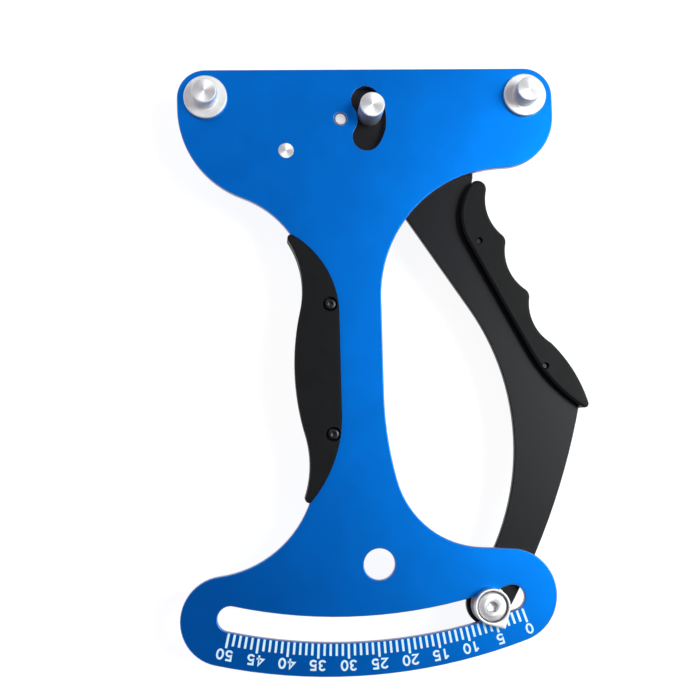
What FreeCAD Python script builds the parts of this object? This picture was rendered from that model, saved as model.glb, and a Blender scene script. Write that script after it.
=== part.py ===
import FreeCAD, Part
import math
import os
import Sketcher

# Spoke tension meter, lying face up, in millimetres.
# The origin is midway between the two fixed posts, on the upper face of their flanges.
# +X runs from the left post to the right post, +Y away from the scale, +Z out of the front face.

SIZES = {
    # the three posts that bear on the spoke
    "post_spacing": 104.34,
    "post_diameter": 8.0,
    "post_height": 7.0,
    "post_edge": 0.4,
    "flange_diameter": 14.0,
    "flange_thickness": 1.5,
    "spigot_diameter": 6.0,
    "post_screw_diameter": 4.0,
    "post_screw_depth": 4.0,
    "post_screw_head_diameter": 7.6,
    "post_screw_head_height": 2.2,
    "post_washer_diameter": 9.0,
    "post_washer_thickness": 0.8,
    # the stack of plates
    "plate_thickness": 2.5,
    "lever_thickness": 2.5,
    "washer_gap": 0.5,
    "plate_edge": 0.25,
    # head of the frame plate
    "post_lobe_radius": 9.2,
    "left_shoulder_radius": 31.4,
    "left_shoulder_drop": 3.5,
    "right_shoulder_radius": 17.3,
    "right_shoulder_drop": 6.6,
    # stem of the frame plate
    "stem_left": -20.5,
    "stem_right": 3.0,
    "left_flank_radius": 31.6,
    "stem_taper": 1.1,
    "right_flank_radius": 42.3,
    "left_waist_radius": 34.8,
    "right_waist_radius": 111.5,
    "right_corner_radius": 29.4,
    "right_corner_out": 32.0,
    "right_corner_rise": 45.48,
    # foot of the frame plate, with the slot that the pointer runs in
    "slot_radius": 163.9,
    "slot_width": 8.0,
    "slot_start_angle": -103.72,
    "slot_end_angle": -71.87,
    "foot_edge_width": 15.1,
    "left_lobe_radius": 13.95,
    "left_lobe_out": 1.69,
    "left_lobe_drop": 0.6,
    "right_lobe_radius": 14.9,
    "right_lobe_in": 0.44,
    "right_lobe_rise": 0.69,
    "hang_hole_diameter": 10.0,
    "hang_hole_rise": 20.09,
    # pivot of the lever and the slot around its post
    "pivot_x": -8.66,
    "pivot_y": -7.22,
    "post_swing_radius": 10.07,
    "post_swing_angle": 13.5,
    "kidney_radius": 10.3,
    "kidney_width": 9.3,
    "kidney_start_angle": -35.0,
    "kidney_end_angle": 36.5,
    # shoulder screw that the lever turns on
    "shoulder_diameter": 6.0,
    "pivot_thread_diameter": 4.0,
    "pivot_tip_recess": 0.2,
    "pivot_hole_countersink": 0.35,
    "pivot_head_diameter": 10.0,
    "pivot_head_height": 3.0,
    "pivot_socket": 4.0,
    "front_washer_diameter": 10.8,
    "rear_washer_diameter": 12.0,
    "bush_diameter": 8.0,
    "cap_diameter": 16.0,
    "cap_thickness": 0.8,
    # torsion spring
    "wire_diameter": 2.0,
    "coil_diameter": 14.0,
    "coil_pitch": 2.1,
    "coil_turns": 3.3317,
    "coil_front_gap": 0.2,
    "coil_rear_gap": 0.2,
    "sleeve_diameter": 10.5,
    "frame_leg_angle": 150.4,
    "frame_leg_length": 22.0,
    "lever_leg_length": 20.5,
    "leg_bend_radius": 2.5,
    "leg_hole_diameter": 2.5,
    # pin that holds the spring's frame leg
    "anchor_x": -26.57,
    "anchor_y": -17.5,
    "anchor_diameter": 5.0,
    "anchor_tail": 2.2,
    "clip_diameter": 8.0,
    "clip_thickness": 0.6,
    "clip_groove_diameter": 4.0,
    # lever plate
    "lever_head_x": -4.66,
    "lever_head_radius": 14.6,
    "lever_throat_x": -7.9,
    "lever_throat_radius": 15.0,
    "lever_inner_rise": 51.84,
    "lever_inner_radius": 78.7,
    "lever_end_offset": -0.4,
    "lever_end_radius": 6.9,
    "lever_outer_radius": 223.2,
    "lever_corner_x": 62.5,
    "lever_corner_y": -100.4,
    "lever_corner_radius": 5.0,
    "lever_notch_x": 70.1,
    "lever_notch_y": -70.6,
    "lever_notch_radius": 20.0,
    "lever_neck_y": -30.5,
    "lever_neck_radius": 12.0,
    "lever_shoulder_x": 26.5,
    "lever_shoulder_y": -25.5,
    "lever_shoulder_radius": 8.2,
    # pointer on the lever's end
    "pointer_angle": -74.48,
    "pointer_heading": -62.2,
    "pointer_radius": 5.7,
    "pointer_reach": 7.4,
    "pointer_tip_radius": 0.4,
    "pointer_height": 3.5,
    "pointer_floor": 0.8,
    "pointer_ride": 0.2,
    "pointer_bore_diameter": 9.9,
    "spacer_diameter": 7.4,
    "pointer_screw_diameter": 5.0,
    "pointer_screw_head_diameter": 9.5,
    "pointer_screw_head_height": 2.6,
    "pointer_socket": 3.0,
    "glide_washer_diameter": 12.0,
    # palm grip
    "grip_front_thickness": 3.0,
    "palm_rear_thickness": 4.0,
    "palm_inner_edge": -10.8,
    "palm_wall": 1.9,
    "palm_swell_radius": 80.0,
    "palm_lower_radius": 42.0,
    "palm_lower_rise": 15.6,
    "palm_upper_radius": 30.0,
    "palm_upper_drop": 8.5,
    "palm_tip_radius": 1.2,
    "grip_edge": 0.7,
    "palm_screw_inset": 2.9,
    "palm_upper_screw_drop": 5.52,
    "palm_lower_screw_rise": 9.12,
    # finger grip
    "finger_front_thickness": 3.6,
    "finger_rear_thickness": 3.0,
    "finger_screw_cover": 1.2,
    "horn_x": 35.6,
    "horn_y": -30.9,
    "horn_radius": 2.8,
    "bulge_y": -39.8,
    "bulge_radius": 17.5,
    "finger_lower_x": 97.4,
    "finger_lower_y": -59.6,
    "finger_lower_radius": 52.5,
    "finger_tail_x": 68.3,
    "finger_tail_radius": 1.3,
    "finger_heel_x": 25.3,
    "finger_heel_y": -114.2,
    "ridge_radius": 3.0,
    "first_ridge_x": 41.2,
    "first_ridge_y": -48.4,
    "second_ridge_x": 48.4,
    "second_ridge_y": -66.5,
    "third_ridge_y": -84.0,
    "finger_hollow_radius": 15.0,
    "finger_upper_screw_x": 35.55,
    "finger_upper_screw_y": -47.96,
    "finger_lower_screw_x": 55.86,
    "finger_lower_screw_y": -89.14,
    # screws of both grips
    "grip_screw_diameter": 2.0,
    "grip_screw_head_diameter": 3.9,
    "grip_screw_head_height": 1.4,
    "grip_recess_diameter": 4.7,
    "grip_recess_depth": 1.6,
    "grip_screw_socket": 1.5,
    # fits
    "running_clearance": 0.04,
    "fixed_clearance": 0.03,
    "screw_clearance": 0.1,
    "grip_clearance": 0.05,
}


def text_of(number):
    """A plain number as the sheet's formulas write it."""
    return f"({number:.9g})" if number < 0 else f"{number:.9g}"


class Size:
    """A size that carries both its value and the sheet formula that it comes from."""

    def __init__(self, value, formula):
        self.value = value
        self.formula = formula

    def __add__(self, other):
        other = sized(other)
        return Size(self.value + other.value, f"({self.formula} + {other.formula})")

    def __sub__(self, other):
        other = sized(other)
        return Size(self.value - other.value, f"({self.formula} - {other.formula})")

    def __mul__(self, other):
        other = sized(other)
        return Size(self.value * other.value, f"({self.formula} * {other.formula})")

    def __truediv__(self, other):
        other = sized(other)
        return Size(self.value / other.value, f"({self.formula} / {other.formula})")

    def __neg__(self):
        return Size(-self.value, f"(0 - {self.formula})")


def sized(number):
    """A bare number as a Size, so that both kinds mix in one formula."""
    if isinstance(number, Size):
        return number
    return Size(number, text_of(number))


def cosine(angle):
    return Size(math.cos(math.radians(angle.value)), f"cos({angle.formula} * 1 deg)")


def sine(angle):
    return Size(math.sin(math.radians(angle.value)), f"sin({angle.formula} * 1 deg)")


def root(square):
    return Size(math.sqrt(square.value), f"sqrt({square.formula})")


def reach(total, side):
    """The other side of a right triangle whose longest side is total."""
    return root(total * total - side * side)


class Sheet:
    """The spreadsheet of driving sizes, read as named Sizes."""

    def __init__(self, document, sizes):
        self.sizes = sizes
        cells = document.addObject("Spreadsheet::Sheet", "Sizes")
        for row, (name, value) in enumerate(sizes.items(), start=1):
            cells.set(f"A{row}", name)
            cells.set(f"B{row}", str(value))
            cells.setAlias(f"B{row}", name)
        document.recompute()

    def __getattr__(self, name):
        return Size(self.sizes[name], f"Sizes.{name}")


DOC = FreeCAD.newDocument("SpokeTensionMeter")
S = Sheet(DOC, SIZES)
ZERO = sized(0.0)

# levels of the stack, from the front face down
PLATE_FRONT = -S.flange_thickness
PLATE_BACK = PLATE_FRONT - S.plate_thickness
LEVER_FRONT = PLATE_BACK - S.washer_gap
LEVER_BACK = LEVER_FRONT - S.lever_thickness
REAR_WASHER_BACK = LEVER_BACK - S.washer_gap
COIL_FRONT = REAR_WASHER_BACK - S.coil_front_gap - S.wire_diameter / 2
COIL_REAR = COIL_FRONT - S.coil_pitch * S.coil_turns
SLEEVE_BACK = COIL_REAR - S.wire_diameter / 2 - S.coil_rear_gap
CAP_BACK = SLEEVE_BACK - S.cap_thickness

# shares that every domed socket screw keeps, of its head's radius or height or its shank's width
CROWN_FLAT = 0.55
DOME_RADIUS = 0.86
DOME_DROP = 0.3
RIM_HEIGHT = 0.2
SOCKET_DEPTH = 0.6
POINT_LENGTH = 0.12
POINT_RADIUS = 0.75
# sockets and points of the other screws, as shares of the screw's width or height
SOCKET_WIDTH = 0.6
FLUSH_HEAD_HEIGHT = 0.6
FLUSH_SOCKET_DEPTH = 0.5
CAP_SOCKET_DEPTH = 0.7
THREAD_CHAMFER = 0.2
# share of a grip's flange that its screws stand in, and of a clip's bore that its mouth is wide
GRIP_THREAD = 0.7
CLIP_MOUTH = 0.85
# sides of the wire's section, which stands for a round one in few faces
WIRE_SIDES = 12

# places that several pieces share
POST_X = S.post_spacing / 2
LOBE_EDGE = POST_X + S.post_lobe_radius
MOVING_X = S.pivot_x + S.post_swing_radius * cosine(S.post_swing_angle)
MOVING_Y = S.pivot_y + S.post_swing_radius * sine(S.post_swing_angle)
POINTER_X = S.pivot_x + S.slot_radius * cosine(S.pointer_angle)
POINTER_Y = S.pivot_y + S.slot_radius * sine(S.pointer_angle)
LEFT_SLOT_X = S.pivot_x + S.slot_radius * cosine(S.slot_start_angle)
LEFT_SLOT_Y = S.pivot_y + S.slot_radius * sine(S.slot_start_angle)
RIGHT_SLOT_X = S.pivot_x + S.slot_radius * cosine(S.slot_end_angle)
RIGHT_SLOT_Y = S.pivot_y + S.slot_radius * sine(S.slot_end_angle)
LEFT_LOBE_X = LEFT_SLOT_X - S.left_lobe_out
LEFT_LOBE_Y = LEFT_SLOT_Y - S.left_lobe_drop
RIGHT_LOBE_X = RIGHT_SLOT_X - S.right_lobe_in
RIGHT_LOBE_Y = RIGHT_SLOT_Y + S.right_lobe_rise
HANG_HOLE_Y = S.pivot_y - S.slot_radius + S.hang_hole_rise
COIL_RADIUS = S.coil_diameter / 2
LEVER_LEG_ANGLE = S.frame_leg_angle - (S.coil_turns - 3) * 360


# ---------------------------------------------------------------- sketches and features

def new_body(name, x=ZERO, y=ZERO):
    """A body whose own origin stands at x, y."""
    body = DOC.addObject("PartDesign::Body", name)
    body.Label = name
    body.Placement = FreeCAD.Placement(FreeCAD.Vector(x.value, y.value, 0), FreeCAD.Rotation())
    body.setExpression("Placement.Base.x", x.formula)
    body.setExpression("Placement.Base.y", y.formula)
    return body


def origin_plane(body, role):
    return next(plane for plane in body.Origin.OriginFeatures if plane.Role == role)


def sketch_on(body, role, level=ZERO):
    """A sketch parallel to one of the body's origin planes, at a level along its normal."""
    sketch = body.newObject("Sketcher::SketchObject", "Sketch")
    sketch.AttachmentSupport = (origin_plane(body, role), [""])
    sketch.MapMode = "FlatFace"
    offset = FreeCAD.Vector(0, 0, level.value)
    sketch.AttachmentOffset = FreeCAD.Placement(offset, FreeCAD.Rotation())
    sketch.setExpression("AttachmentOffset.Base.z", level.formula)
    return sketch


def bind(sketch, kind, geometry, point, size):
    """One dimension of the sketch, tied to the sheet."""
    if point is None:
        constraint = Sketcher.Constraint(kind, geometry, size.value)
    else:
        constraint = Sketcher.Constraint(kind, geometry, point, size.value)
    index = sketch.addConstraint(constraint)
    sketch.setExpression(f"Constraints[{index}]", size.formula)


def draw_polygon(sketch, corners):
    """A closed outline of straight lines with every corner tied to the sheet."""
    spots = [FreeCAD.Vector(x.value, y.value, 0) for x, y in corners]
    lines = []
    for start, end in zip(spots, spots[1:] + spots[:1]):
        lines.append(sketch.addGeometry(Part.LineSegment(start, end)))
    for line, following in zip(lines, lines[1:] + lines[:1]):
        sketch.addConstraint(Sketcher.Constraint("Coincident", line, 2, following, 1))
    for line, (x, y) in zip(lines, corners):
        bind(sketch, "DistanceX", line, 1, x)
        bind(sketch, "DistanceY", line, 1, y)


def draw_circle(sketch, x, y, radius):
    centre = FreeCAD.Vector(x.value, y.value, 0)
    circle = sketch.addGeometry(Part.Circle(centre, FreeCAD.Vector(0, 0, 1), radius.value))
    bind(sketch, "DistanceX", circle, 3, x)
    bind(sketch, "DistanceY", circle, 3, y)
    bind(sketch, "Radius", circle, None, radius)


OUTWARD = 1
INWARD = -1


class Bend:
    """One round stretch of an outline: its circle bulges outward or is hollowed inward.

    A coordinate or radius given as a Size is tied to the sheet. One given as a bare number only
    starts there, because the circle's tangency with its neighbours settles it.
    """

    def __init__(self, x, y, radius, side, touches_next=False):
        self.x = x
        self.y = y
        self.radius = radius
        self.side = side
        self.touches_next = touches_next
        self.centre = (sized(x).value, sized(y).value)
        self.turn = side * sized(radius).value


def tangent_points(bend, following):
    """Where an outline, run counterclockwise, leaves one bend and meets the next one."""
    dx = following.centre[0] - bend.centre[0]
    dy = following.centre[1] - bend.centre[1]
    widening = following.turn - bend.turn
    run = 0.0
    if not bend.touches_next:
        run = math.sqrt(dx * dx + dy * dy - widening * widening)
    heading = math.atan2(dy, dx) - math.atan2(widening, run)
    nx = -math.sin(heading)
    ny = math.cos(heading)
    leave = (bend.centre[0] - bend.turn * nx, bend.centre[1] - bend.turn * ny)
    meet = (following.centre[0] - following.turn * nx, following.centre[1] - following.turn * ny)
    return leave, meet


def arc_of(bend, meet, leave):
    """The bend's arc from where the outline meets it to where it leaves."""
    first, last = (meet, leave) if bend.side == OUTWARD else (leave, meet)
    start = math.atan2(first[1] - bend.centre[1], first[0] - bend.centre[0])
    end = math.atan2(last[1] - bend.centre[1], last[0] - bend.centre[0])
    if end <= start:
        end += 2 * math.pi
    centre = FreeCAD.Vector(bend.centre[0], bend.centre[1], 0)
    circle = Part.Circle(centre, FreeCAD.Vector(0, 0, 1), abs(bend.turn))
    return Part.ArcOfCircle(circle, start, end)


def draw_outline(sketch, bends):
    """A closed outline of bends, run counterclockwise, joined by tangent lines or touching."""
    count = len(bends)
    joints = [tangent_points(bends[i], bends[(i + 1) % count]) for i in range(count)]
    arcs = []
    for i, bend in enumerate(bends):
        arcs.append(sketch.addGeometry(arc_of(bend, joints[i - 1][1], joints[i][0])))
    for i, bend in enumerate(bends):
        following = (i + 1) % count
        leaving = 2 if bend.side == OUTWARD else 1
        meeting = 1 if bends[following].side == OUTWARD else 2
        if bend.touches_next:
            sketch.addConstraint(Sketcher.Constraint("Tangent", arcs[i], leaving, arcs[following], meeting))
        else:
            start, end = [FreeCAD.Vector(x, y, 0) for x, y in joints[i]]
            line = sketch.addGeometry(Part.LineSegment(start, end))
            sketch.addConstraint(Sketcher.Constraint("Tangent", arcs[i], leaving, line, 1))
            sketch.addConstraint(Sketcher.Constraint("Tangent", line, 2, arcs[following], meeting))
    for arc, bend in zip(arcs, bends):
        if isinstance(bend.x, Size):
            bind(sketch, "DistanceX", arc, 3, bend.x)
        if isinstance(bend.y, Size):
            bind(sketch, "DistanceY", arc, 3, bend.y)
        if isinstance(bend.radius, Size):
            bind(sketch, "Radius", arc, None, bend.radius)


def pad(body, sketch, height, downward=False):
    feature = body.newObject("PartDesign::Pad", "Pad")
    feature.Profile = sketch
    feature.setExpression("Length", height.formula)
    feature.Reversed = downward
    return feature


def pocket(body, sketch, depth=None, upward=False):
    """A cut below the sketch, or above it, through everything where no depth is given."""
    feature = body.newObject("PartDesign::Pocket", "Pocket")
    feature.Profile = sketch
    feature.Reversed = upward
    if depth is None:
        feature.Type = "ThroughAll"
    else:
        feature.setExpression("Length", depth.formula)
    return feature


def drill(body, level, x, y, diameter, depth=None, upward=False):
    sketch = sketch_on(body, "XY_Plane", level)
    draw_circle(sketch, x, y, diameter / 2)
    return pocket(body, sketch, depth, upward)


def turn(body, profile):
    """A solid of revolution about the body's own Z from (radius, level) corners."""
    sketch = sketch_on(body, "XZ_Plane")
    draw_polygon(sketch, profile)
    feature = body.newObject("PartDesign::Revolution", "Turning")
    feature.Profile = sketch
    feature.ReferenceAxis = (sketch, ["V_Axis"])
    feature.Angle = 360
    return feature


def hex_socket(body, level, across, depth, upward):
    """A six-sided socket on the body's own axis, sunk from the given level."""
    sketch = sketch_on(body, "XY_Plane", level)
    corner = across / math.sqrt(3)
    draw_polygon(sketch, [(corner * cosine(sized(60 * k)), corner * sine(sized(60 * k))) for k in range(6)])
    return pocket(body, sketch, depth, upward)


LEVEL_MARGIN = 1e-4
RIM_MARGIN = 0.1


def edges_at(feature, levels, longer_than=0.0, shorter_than=math.inf):
    """Names of the feature's edges that lie wholly in one of the horizontal levels."""
    names = []
    for number, edge in enumerate(feature.Shape.Edges, start=1):
        box = edge.BoundBox
        for level in levels:
            low, high = box.ZMin - level.value, box.ZMax - level.value
            flat = abs(low) < LEVEL_MARGIN and abs(high) < LEVEL_MARGIN
            if flat and longer_than < edge.Length < shorter_than:
                names.append(f"Edge{number}")
    return names


def dress(body, kind, edges, size, field):
    """A chamfer or fillet on the named edges of the body's last feature."""
    base = body.Tip
    feature = body.newObject(f"PartDesign::{kind}", kind)
    feature.Base = (base, edges)
    feature.setExpression(field, size.formula)
    return feature


def washer(name, x, y, outer, inner, top, thickness):
    body = new_body(name, x, y)
    bottom = top - thickness
    turn(body, [(inner / 2, top), (outer / 2, top), (outer / 2, bottom), (inner / 2, bottom)])
    return body


# ---------------------------------------------------------------- outlines of the two plates

def left_flank(grow):
    """Hollow between the left shoulder and the stem."""
    radius = S.left_flank_radius - grow
    x = S.stem_left - S.left_flank_radius
    shoulder_x = -LOBE_EDGE + S.left_shoulder_radius
    drop = reach(S.left_flank_radius + S.left_shoulder_radius, x - shoulder_x)
    return x, -S.left_shoulder_drop - drop, radius


def left_waist(grow):
    """Hollow between the stem and the foot's left lobe."""
    radius = S.left_waist_radius - grow
    x = S.stem_left + S.stem_taper - S.left_waist_radius
    rise = reach(S.left_waist_radius + S.left_lobe_radius, x - LEFT_LOBE_X)
    return x, LEFT_LOBE_Y + rise, radius


def plate_outline(grow=ZERO):
    """The frame plate's outline, run counterclockwise from the left post, grown all round."""
    flank_x, flank_y, flank_radius = left_flank(grow)
    waist_x, waist_y, waist_radius = left_waist(grow)
    corner_x = S.stem_right + S.right_corner_out
    corner_y = RIGHT_SLOT_Y + S.right_corner_rise
    corner_gap = S.right_waist_radius - S.right_corner_radius
    edge_x = S.stem_right + S.right_waist_radius
    edge_y = corner_y + reach(corner_gap, edge_x - corner_x)
    right_x = LOBE_EDGE - S.right_shoulder_radius
    hollow_x = S.stem_right + S.right_flank_radius
    hollow_drop = reach(S.right_flank_radius + S.right_shoulder_radius, hollow_x - right_x)
    hollow_y = -S.right_shoulder_drop - hollow_drop
    foot_radius = S.slot_radius + S.foot_edge_width
    foot_x, foot_y = touching((LEFT_LOBE_X.value, LEFT_LOBE_Y.value),
                              (foot_radius - S.left_lobe_radius).value,
                              (RIGHT_LOBE_X.value, RIGHT_LOBE_Y.value),
                              (foot_radius - S.right_lobe_radius).value)
    return [
        Bend(-POST_X, ZERO, S.post_lobe_radius + grow, OUTWARD),
        Bend(-LOBE_EDGE + S.left_shoulder_radius, -S.left_shoulder_drop,
             S.left_shoulder_radius + grow, OUTWARD, touches_next=True),
        Bend(flank_x, flank_y.value, flank_radius, INWARD),
        Bend(waist_x, waist_y.value, waist_radius, INWARD, touches_next=True),
        Bend(LEFT_LOBE_X, LEFT_LOBE_Y, S.left_lobe_radius + grow, OUTWARD, touches_next=True),
        Bend(foot_x, foot_y, foot_radius + grow, OUTWARD, touches_next=True),
        Bend(RIGHT_LOBE_X, RIGHT_LOBE_Y, S.right_lobe_radius + grow, OUTWARD),
        Bend(corner_x, corner_y, S.right_corner_radius - grow, INWARD, touches_next=True),
        Bend(edge_x, edge_y.value, S.right_waist_radius - grow, INWARD),
        Bend(hollow_x, hollow_y.value, S.right_flank_radius - grow, INWARD, touches_next=True),
        Bend(right_x, -S.right_shoulder_drop, S.right_shoulder_radius + grow, OUTWARD),
        Bend(POST_X, ZERO, S.post_lobe_radius + grow, OUTWARD),
    ]


def lever_outline(grow=ZERO):
    """The lever's outline, run counterclockwise from its head down the inner edge."""
    end_x = POINTER_X + S.lever_end_offset
    throat_sum = S.lever_head_radius + S.lever_throat_radius
    throat_y = S.pivot_y - reach(throat_sum, S.lever_throat_x - S.lever_head_x)
    inner_sum = S.lever_inner_radius + S.lever_end_radius
    inner_x = end_x - reach(inner_sum, S.lever_inner_rise)
    outer_x, outer_y = touching((end_x.value, POINTER_Y.value),
                                S.lever_outer_radius.value - S.lever_end_radius.value,
                                (S.lever_corner_x.value, S.lever_corner_y.value),
                                S.lever_outer_radius.value - S.lever_corner_radius.value)
    neck_sum = S.lever_neck_radius + S.lever_shoulder_radius
    neck_x = S.lever_shoulder_x + reach(neck_sum, S.lever_neck_y - S.lever_shoulder_y)
    return [
        Bend(S.lever_head_x, S.pivot_y, S.lever_head_radius + grow, OUTWARD, touches_next=True),
        Bend(S.lever_throat_x, throat_y.value, S.lever_throat_radius - grow, INWARD),
        Bend(inner_x.value, POINTER_Y + S.lever_inner_rise, S.lever_inner_radius - grow, INWARD,
             touches_next=True),
        Bend(end_x, POINTER_Y, S.lever_end_radius + grow, OUTWARD, touches_next=True),
        Bend(outer_x, outer_y, S.lever_outer_radius + grow, OUTWARD, touches_next=True),
        Bend(S.lever_corner_x, S.lever_corner_y, S.lever_corner_radius + grow, OUTWARD),
        Bend(S.lever_notch_x, S.lever_notch_y, S.lever_notch_radius - grow, INWARD),
        Bend(neck_x.value, S.lever_neck_y, S.lever_neck_radius - grow, INWARD, touches_next=True),
        Bend(S.lever_shoulder_x, S.lever_shoulder_y, S.lever_shoulder_radius + grow, OUTWARD),
    ]


def ring_slot(radius, width, start, end):
    """A slot that follows a circle about the pivot, with round ends."""
    end_x = S.pivot_x + radius * cosine(end)
    end_y = S.pivot_y + radius * sine(end)
    start_x = S.pivot_x + radius * cosine(start)
    start_y = S.pivot_y + radius * sine(start)
    across = width / 2
    return [
        Bend(S.pivot_x, S.pivot_y, radius + across, OUTWARD, touches_next=True),
        Bend(end_x.value, end_y, across, OUTWARD, touches_next=True),
        Bend(S.pivot_x, S.pivot_y, (radius - across).value, INWARD, touches_next=True),
        Bend(start_x.value, start_y, across.value, OUTWARD, touches_next=True),
    ]


def touching(first, first_gap, second, second_gap):
    """Centre of a circle that keeps both gaps from two centres, left of the way between them."""
    dx = second[0] - first[0]
    dy = second[1] - first[1]
    apart = math.hypot(dx, dy)
    along = (first_gap ** 2 - second_gap ** 2 + apart ** 2) / (2 * apart)
    aside = math.sqrt(first_gap ** 2 - along ** 2)
    return (first[0] + (along * dx - aside * dy) / apart,
            first[1] + (along * dy + aside * dx) / apart)


# ---------------------------------------------------------------- frame plate

def frame_plate():
    """Flat plate with head, stem and foot, its slots, and its holes for pins and screws."""
    body = new_body("frame_plate")
    blank = sketch_on(body, "XY_Plane", PLATE_BACK)
    draw_outline(blank, plate_outline())
    pad(body, blank, S.plate_thickness)
    kidney = sketch_on(body, "XY_Plane", PLATE_FRONT)
    draw_outline(kidney, ring_slot(S.kidney_radius, S.kidney_width, S.kidney_start_angle, S.kidney_end_angle))
    pocket(body, kidney)
    scale_slot = sketch_on(body, "XY_Plane", PLATE_FRONT)
    draw_outline(scale_slot, ring_slot(S.slot_radius, S.slot_width, S.slot_start_angle, S.slot_end_angle))
    pocket(body, scale_slot)
    holes = sketch_on(body, "XY_Plane", PLATE_FRONT)
    spigot = S.spigot_diameter / 2
    draw_circle(holes, -POST_X, ZERO, spigot)
    draw_circle(holes, POST_X, ZERO, spigot)
    draw_circle(holes, S.pivot_x, S.pivot_y, S.pivot_thread_diameter / 2 + S.fixed_clearance)
    draw_circle(holes, S.anchor_x, S.anchor_y, S.anchor_diameter / 2 + S.fixed_clearance)
    draw_circle(holes, ZERO, HANG_HOLE_Y, S.hang_hole_diameter / 2)
    for x, y in palm_screws():
        draw_circle(holes, x, y, S.grip_screw_diameter / 2 + S.fixed_clearance)
    cut = pocket(body, holes)
    DOC.recompute()
    spigot_rim = S.spigot_diameter.value * math.pi
    edges = edges_at(cut, (PLATE_FRONT, PLATE_BACK), longer_than=spigot_rim + RIM_MARGIN)
    broken = dress(body, "Chamfer", edges, S.plate_edge, "Size")
    DOC.recompute()
    pivot_rim = (S.pivot_thread_diameter + S.fixed_clearance * 2).value * math.pi
    edges = edges_at(broken, (PLATE_FRONT,), pivot_rim - RIM_MARGIN, pivot_rim + RIM_MARGIN)
    dress(body, "Chamfer", edges, S.pivot_hole_countersink, "Size")
    return body


# ---------------------------------------------------------------- posts

def fixed_post(name, x):
    """Steel post with a flange on the plate, a spigot in it and a tapped hole from below."""
    body = new_body(name, x, ZERO)
    radius = S.post_diameter / 2
    flange = S.flange_diameter / 2
    spigot = S.spigot_diameter / 2 - S.fixed_clearance
    turn(body, [
        (ZERO, S.post_height),
        (radius - S.post_edge, S.post_height),
        (radius, S.post_height - S.post_edge),
        (radius, ZERO),
        (flange - S.post_edge, ZERO),
        (flange, -S.post_edge),
        (flange, PLATE_FRONT),
        (spigot, PLATE_FRONT),
        (spigot, PLATE_BACK),
        (ZERO, PLATE_BACK),
    ])
    bore = S.post_screw_diameter + S.fixed_clearance * 2
    drill(body, PLATE_BACK, ZERO, ZERO, bore, S.post_screw_depth + S.plate_thickness, upward=True)
    return body


def button_screw(name, x, y, seat, length, diameter, head_diameter, head_height, socket, upward):
    """Socket screw with a domed head; its shank runs up, or down, from the seat of its head."""
    body = new_body(name, x, y)
    way = 1 if upward else -1
    shank = diameter / 2
    head = head_diameter / 2
    crown = seat - head_height * way
    turn(body, [
        (ZERO, crown),
        (head * CROWN_FLAT, crown),
        (head * DOME_RADIUS, crown + head_height * (DOME_DROP * way)),
        (head, seat - head_height * (RIM_HEIGHT * way)),
        (head, seat),
        (shank, seat),
        (shank, seat + (length - diameter * POINT_LENGTH) * way),
        (shank * POINT_RADIUS, seat + length * way),
        (ZERO, seat + length * way),
    ])
    hex_socket(body, crown, socket, head_height * SOCKET_DEPTH, upward)
    return body


def moving_post():
    """Steel post that stands on the lever and comes up through the kidney slot."""
    body = new_body("moving_post", MOVING_X, MOVING_Y)
    radius = S.post_diameter / 2
    turn(body, [
        (ZERO, S.post_height),
        (radius - S.post_edge, S.post_height),
        (radius, S.post_height - S.post_edge),
        (radius, LEVER_FRONT),
        (ZERO, LEVER_FRONT),
    ])
    bore = S.post_screw_diameter + S.fixed_clearance * 2
    drill(body, LEVER_FRONT, ZERO, ZERO, bore, S.post_screw_depth, upward=True)
    return body


def countersink_radius():
    return S.post_screw_diameter / 2 + S.screw_clearance + S.lever_thickness * FLUSH_HEAD_HEIGHT


def moving_post_screw():
    """Countersunk screw, flush with the lever's rear face."""
    body = new_body("moving_post_screw", MOVING_X, MOVING_Y)
    shank = S.post_screw_diameter / 2
    head = countersink_radius() - S.fixed_clearance
    tip = LEVER_FRONT + S.post_screw_depth - S.screw_clearance
    turn(body, [
        (ZERO, tip),
        (shank, tip),
        (shank, LEVER_BACK + (head - shank)),
        (head, LEVER_BACK),
        (ZERO, LEVER_BACK),
    ])
    hex_socket(body, LEVER_BACK, S.post_screw_diameter * SOCKET_WIDTH,
               S.lever_thickness * FLUSH_SOCKET_DEPTH, upward=True)
    return body


# ---------------------------------------------------------------- pivot and spring

def pivot_screw():
    """Shoulder screw: thread tip in the plate, shoulder through the lever, head at the rear."""
    body = new_body("pivot_screw", S.pivot_x, S.pivot_y)
    tip = PLATE_FRONT - S.pivot_tip_recess
    thread = S.pivot_thread_diameter / 2
    shoulder = S.shoulder_diameter / 2
    head = S.pivot_head_diameter / 2
    crown = CAP_BACK - S.pivot_head_height
    turn(body, [
        (ZERO, tip),
        (thread * (1 - THREAD_CHAMFER), tip),
        (thread, tip - thread * THREAD_CHAMFER),
        (thread, PLATE_BACK),
        (shoulder, PLATE_BACK),
        (shoulder, CAP_BACK),
        (head, CAP_BACK),
        (head, crown + S.post_edge),
        (head - S.post_edge, crown),
        (ZERO, crown),
    ])
    hex_socket(body, crown, S.pivot_socket, S.pivot_head_height * CAP_SOCKET_DEPTH, upward=True)
    return body


def lever_bush():
    """Bearing bush pressed in the lever, which runs on the shoulder screw."""
    bore = S.shoulder_diameter + S.running_clearance * 2
    return washer("lever_bush", S.pivot_x, S.pivot_y, S.bush_diameter, bore, LEVER_FRONT, S.lever_thickness)


def pivot_washer(name, outer, top):
    bore = S.shoulder_diameter + S.fixed_clearance * 2
    return washer(name, S.pivot_x, S.pivot_y, outer, bore, top, S.washer_gap)


def spring_guide_sleeve():
    bore = S.shoulder_diameter + S.fixed_clearance * 2
    length = REAR_WASHER_BACK - SLEEVE_BACK
    return washer("spring_guide_sleeve", S.pivot_x, S.pivot_y, S.sleeve_diameter, bore,
                  REAR_WASHER_BACK, length)


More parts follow.
